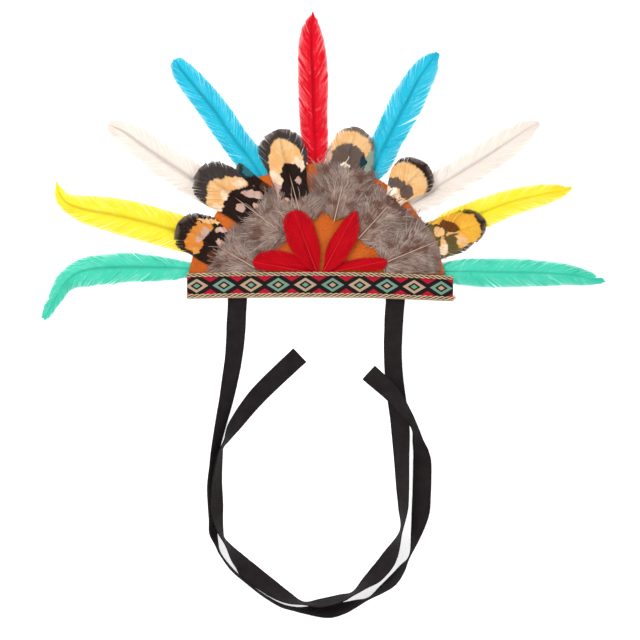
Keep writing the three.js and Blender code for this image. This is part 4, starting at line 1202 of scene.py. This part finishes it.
def down_finish():
    finish = Finish("pheasant_down", roughness=0.85, sheen=0.1)
    x, y, reach = finish.layer("vane")
    chance, fine, _ = finish.layer("strand")
    shade = finish.mix(dye(122, 94, 84), dye(152, 128, 117), finish.rise(chance, 0.05, 0.45))
    shade = finish.mix(shade, dye(178, 156, 145), finish.rise(chance, 0.6, 0.95))
    shade = finish.mix(shade, dye(200, 183, 172), finish.rise(chance, 0.93, 0.97) * fine)
    cloud = finish.noise(finish.vector(x, y, 1.0), 0.09, 5.0)
    shade = finish.mix(shade, dye(104, 62, 48), finish.rise(cloud, 0.5, 0.64) * 0.75)
    shade = finish.mix(shade, dye(196, 178, 168), finish.rise(cloud, 0.44, 0.32) * 0.5)
    finish.colour(finish.mix(shade, dye(182, 164, 154), finish.rise(reach, 0.6, 1.0) * 0.3))
    return finish


soft_down = down_finish()

# %% Build vanes and down
VANE_BARBS = 260
DOWN_STRANDS = 2000
DOWN_BESIDE = 4.6  # how far beside the shaft the strands start, as a spread
DOWN_FLAT = 46.0  # nearer than this to the trim's middle the down lies flat under the red feathers
DOWN_RISE = 20.0  # and over this distance it comes up to its full height
DOWN_HEIGHT = 0.14  # of one strand
DOWN_TAPER = 0.7  # share of its width that a strand loses to its tip
FINE_SHARE = 0.45  # how many strands are fine
FINE_HALF, COARSE_HALF = (0.1, 0.18), (0.34, 0.6)  # half widths


def grow_down(spine, stop, behind, count, draw, segments=4):
    """Loose soft strands round the foot of a feather.

    stop and behind are how far they reach past the foot, ahead and back, as shares of its length.
    """
    roots = draw.uniform(-behind, stop - 0.06, count) * spine.length
    beside = draw.normal(0, DOWN_BESIDE, count)
    start = spine.spot(roots, beside)
    side = np.sign(beside)
    run = np.stack([spine.look(roots, spine.run[:, axis]) for axis in (0, 1)], -1)
    start[:, :2] += run * np.minimum(roots, 0)[:, None]
    heading = np.arctan2(run[:, 1], run[:, 0])
    lean = side * np.radians(draw.uniform(-4, 62, count)) + draw.normal(0, 0.12, count)
    lean *= 1 + 0.5 * (roots < 0)
    curl = draw.normal(0, 0.3, count) - side * draw.uniform(0, 0.4, count)
    room = (stop * spine.length - roots) / np.maximum(np.cos(lean), 0.35)
    stray = 10 * (draw.uniform(size=count) < 0.02)
    longest = draw.uniform(12, 28, count)
    reach = np.minimum(longest, np.maximum(room + draw.normal(0, 2, count) + stray, 4))
    share = np.linspace(0, 1, segments + 1)
    waves = draw.uniform(3, 7, count)[:, None]
    wave = 0.16 * np.sin(share * waves + draw.uniform(0, 6, count)[:, None])
    turn = (heading + lean)[:, None] + curl[:, None] * share + wave
    x, y = walk(start, turn, (reach / segments)[:, None])
    y = np.maximum(y, TRIM_TOP - 1.0)
    clear = np.clip((np.hypot(x, y - TRIM_TOP) - DOWN_FLAT) / DOWN_RISE, 0.0, 1.0)
    climb = spine.look(np.maximum(roots, 6), spine.height) - FRONT_LAYER
    rest = PANEL_TOP + 0.35 + (climb + draw.uniform(0, 0.5, count))[:, None]
    crown = draw.uniform(0.4, 1.6, count)[:, None] * np.sin(np.pi * np.clip(share * 0.8 + 0.15, 0, 1))
    z = rest + crown * clear
    fine = draw.uniform(size=count) < FINE_SHARE
    half = np.where(fine, draw.uniform(*FINE_HALF, count), draw.uniform(*COARSE_HALF, count))[:, None]
    points, faces = prisms(np.stack([x, y, z], -1), half * (1 - DOWN_TAPER * share), DOWN_HEIGHT)
    chance = draw.uniform(size=count)[:, None]
    vane = np.stack([x, y, 0 * x + share], -1)
    strand = np.stack([0 * x + chance, 0 * x + fine[:, None], 0 * x + side[:, None]], -1)
    return points, faces, {"vane": each_corner(vane), "strand": each_corner(strand)}


ROUND_FROM = 0.83  # the station where a pheasant feather's round end starts
PHEASANT_SHAFT, PHEASANT_SHAFT_TIP = 0.4, 0.12  # its radii
SHAFT_RAISED = 1.4  # how far the shaft stands out of the down
BEHIND = 0.12  # how far behind the foot the down starts, as a share of the length
for seed, row in enumerate(PHEASANTS):
    draw = np.random.default_rng(300 + seed)
    root = np.array([row["x"] * PANEL_RADIUS, TRIM_TOP + row["y"] * PANEL_RADIUS])

    def lie(along, row=row):
        climb = row["layer"] * LAYER_STEP * smooth_step(along / 0.16)
        return FRONT_LAYER + climb + row["lift"] * PHEASANT_LIFT * smooth_step((along - 0.45) / 0.55)

    length, width = row["length"] * PHEASANT_LENGTH, row["width"] * PHEASANT_WIDTH
    spine = Spine(root, row, length, width, PHEASANT_STATIONS, lie, ROUND_FROM)
    parts = [grow_shaft(spine, PHEASANT_SHAFT, PHEASANT_SHAFT_TIP, sides=6, raised=SHAFT_RAISED)]
    for side in (1, -1):
        parts.append(grow_barbs(
            spine, side, VANE_BARBS, draw, start=1.0, lean=(50, 26), splits=row["splits"], segments=6,
            tousle=0.006, rise=0.16, overlap=1.5, wisp=0.06, seat=0.3,
        ))
    mesh = make_mesh("pheasant_vane_" + row["name"], *join(parts))
    add_piece(mesh, pheasant_finish(row), "feather_patterned", "pheasant_" + row["name"])
    down = grow_down(spine, row["down"], row.get("behind", BEHIND), DOWN_STRANDS, draw)
    mesh = make_mesh("pheasant_down_" + row["name"], *down)
    add_piece(mesh, soft_down, "feather_patterned", "pheasant_" + row["name"])

# %% [markdown]
# ## Small red feathers
# Four small dyed feathers fan out from under the middle of the trim, two of them over the other two.
# Their vanes are close and crisp, with a faint shaft, so they use the same barbs at a finer pitch.

# %% Build the red feathers
RED_LENGTH, RED_WIDTH, RED_LIFT, RED_SPREAD, ROOT_TUCK = 51.0, 18.0, 1.9, 2.0, 1.5
RED_UPPER_LAYER = 6.3
RED_BARBS = 170
RED_SHAFT, RED_SHAFT_TIP = 0.42, 0.22  # its radii
RED_STATIONS = [0, 0.14, 0.3, 0.46, 0.62, 0.78, 0.9, 0.96, 1]
REDS = [
    {"name": "left_low", "x": -0.75, "upper": False, "heading": 169.6, "length": 0.988, "width": 0.889,
     "left": [0.03, 0.02, 0.04, 0.13, 0.22, 0.3, 0.32, 0.22, 0],
     "right": [0.03, 0.29, 0.56, 0.74, 0.77, 0.69, 0.51, 0.31, 0]},
    {"name": "left_up", "x": -1, "upper": True, "heading": 110.7, "length": 1, "width": 1.278,
     "left": [0.03, 0.24, 0.42, 0.52, 0.57, 0.52, 0.46, 0.37, 0.15],
     "right": [0.03, 0.19, 0.36, 0.43, 0.45, 0.46, 0.35, 0.23, 0.04]},
    {"name": "right_up", "x": 0.8, "upper": True, "heading": 62, "length": 1.059, "width": 1,
     "left": [0.03, 0.13, 0.32, 0.38, 0.34, 0.28, 0.17, 0.09, 0],
     "right": [0.03, 0.36, 0.58, 0.61, 0.64, 0.54, 0.33, 0.18, 0]},
    {"name": "right_low", "x": 1.2, "upper": False, "heading": 11.5, "length": 0.971, "width": 0.667,
     "left": [0.04, 0.26, 0.42, 0.49, 0.49, 0.4, 0.28, 0.17, 0],
     "right": [0.04, 0.04, 0.06, 0.16, 0.32, 0.46, 0.47, 0.33, 0]},
]
for seed, row in enumerate(REDS):
    draw = np.random.default_rng(500 + seed)
    root = np.array([row["x"] * RED_SPREAD, TRIM_TOP - ROOT_TUCK])

    def lie(along, layer=RED_UPPER_LAYER if row["upper"] else FRONT_LAYER):
        return layer + RED_LIFT * along

    spine = Spine(root, row, row["length"] * RED_LENGTH, row["width"] * RED_WIDTH, RED_STATIONS, lie)
    parts = [grow_shaft(spine, RED_SHAFT, RED_SHAFT_TIP, sides=6)]
    for side in (1, -1):
        parts.append(grow_barbs(spine, side, RED_BARBS, draw, lean=(34, 22), tousle=0.008, rise=0.14))
    mesh = make_mesh("red_vane_" + row["name"], *join(parts))
    add_piece(mesh, dyes["deep_red"], "feather_deep_red", "red_small_" + row["name"])
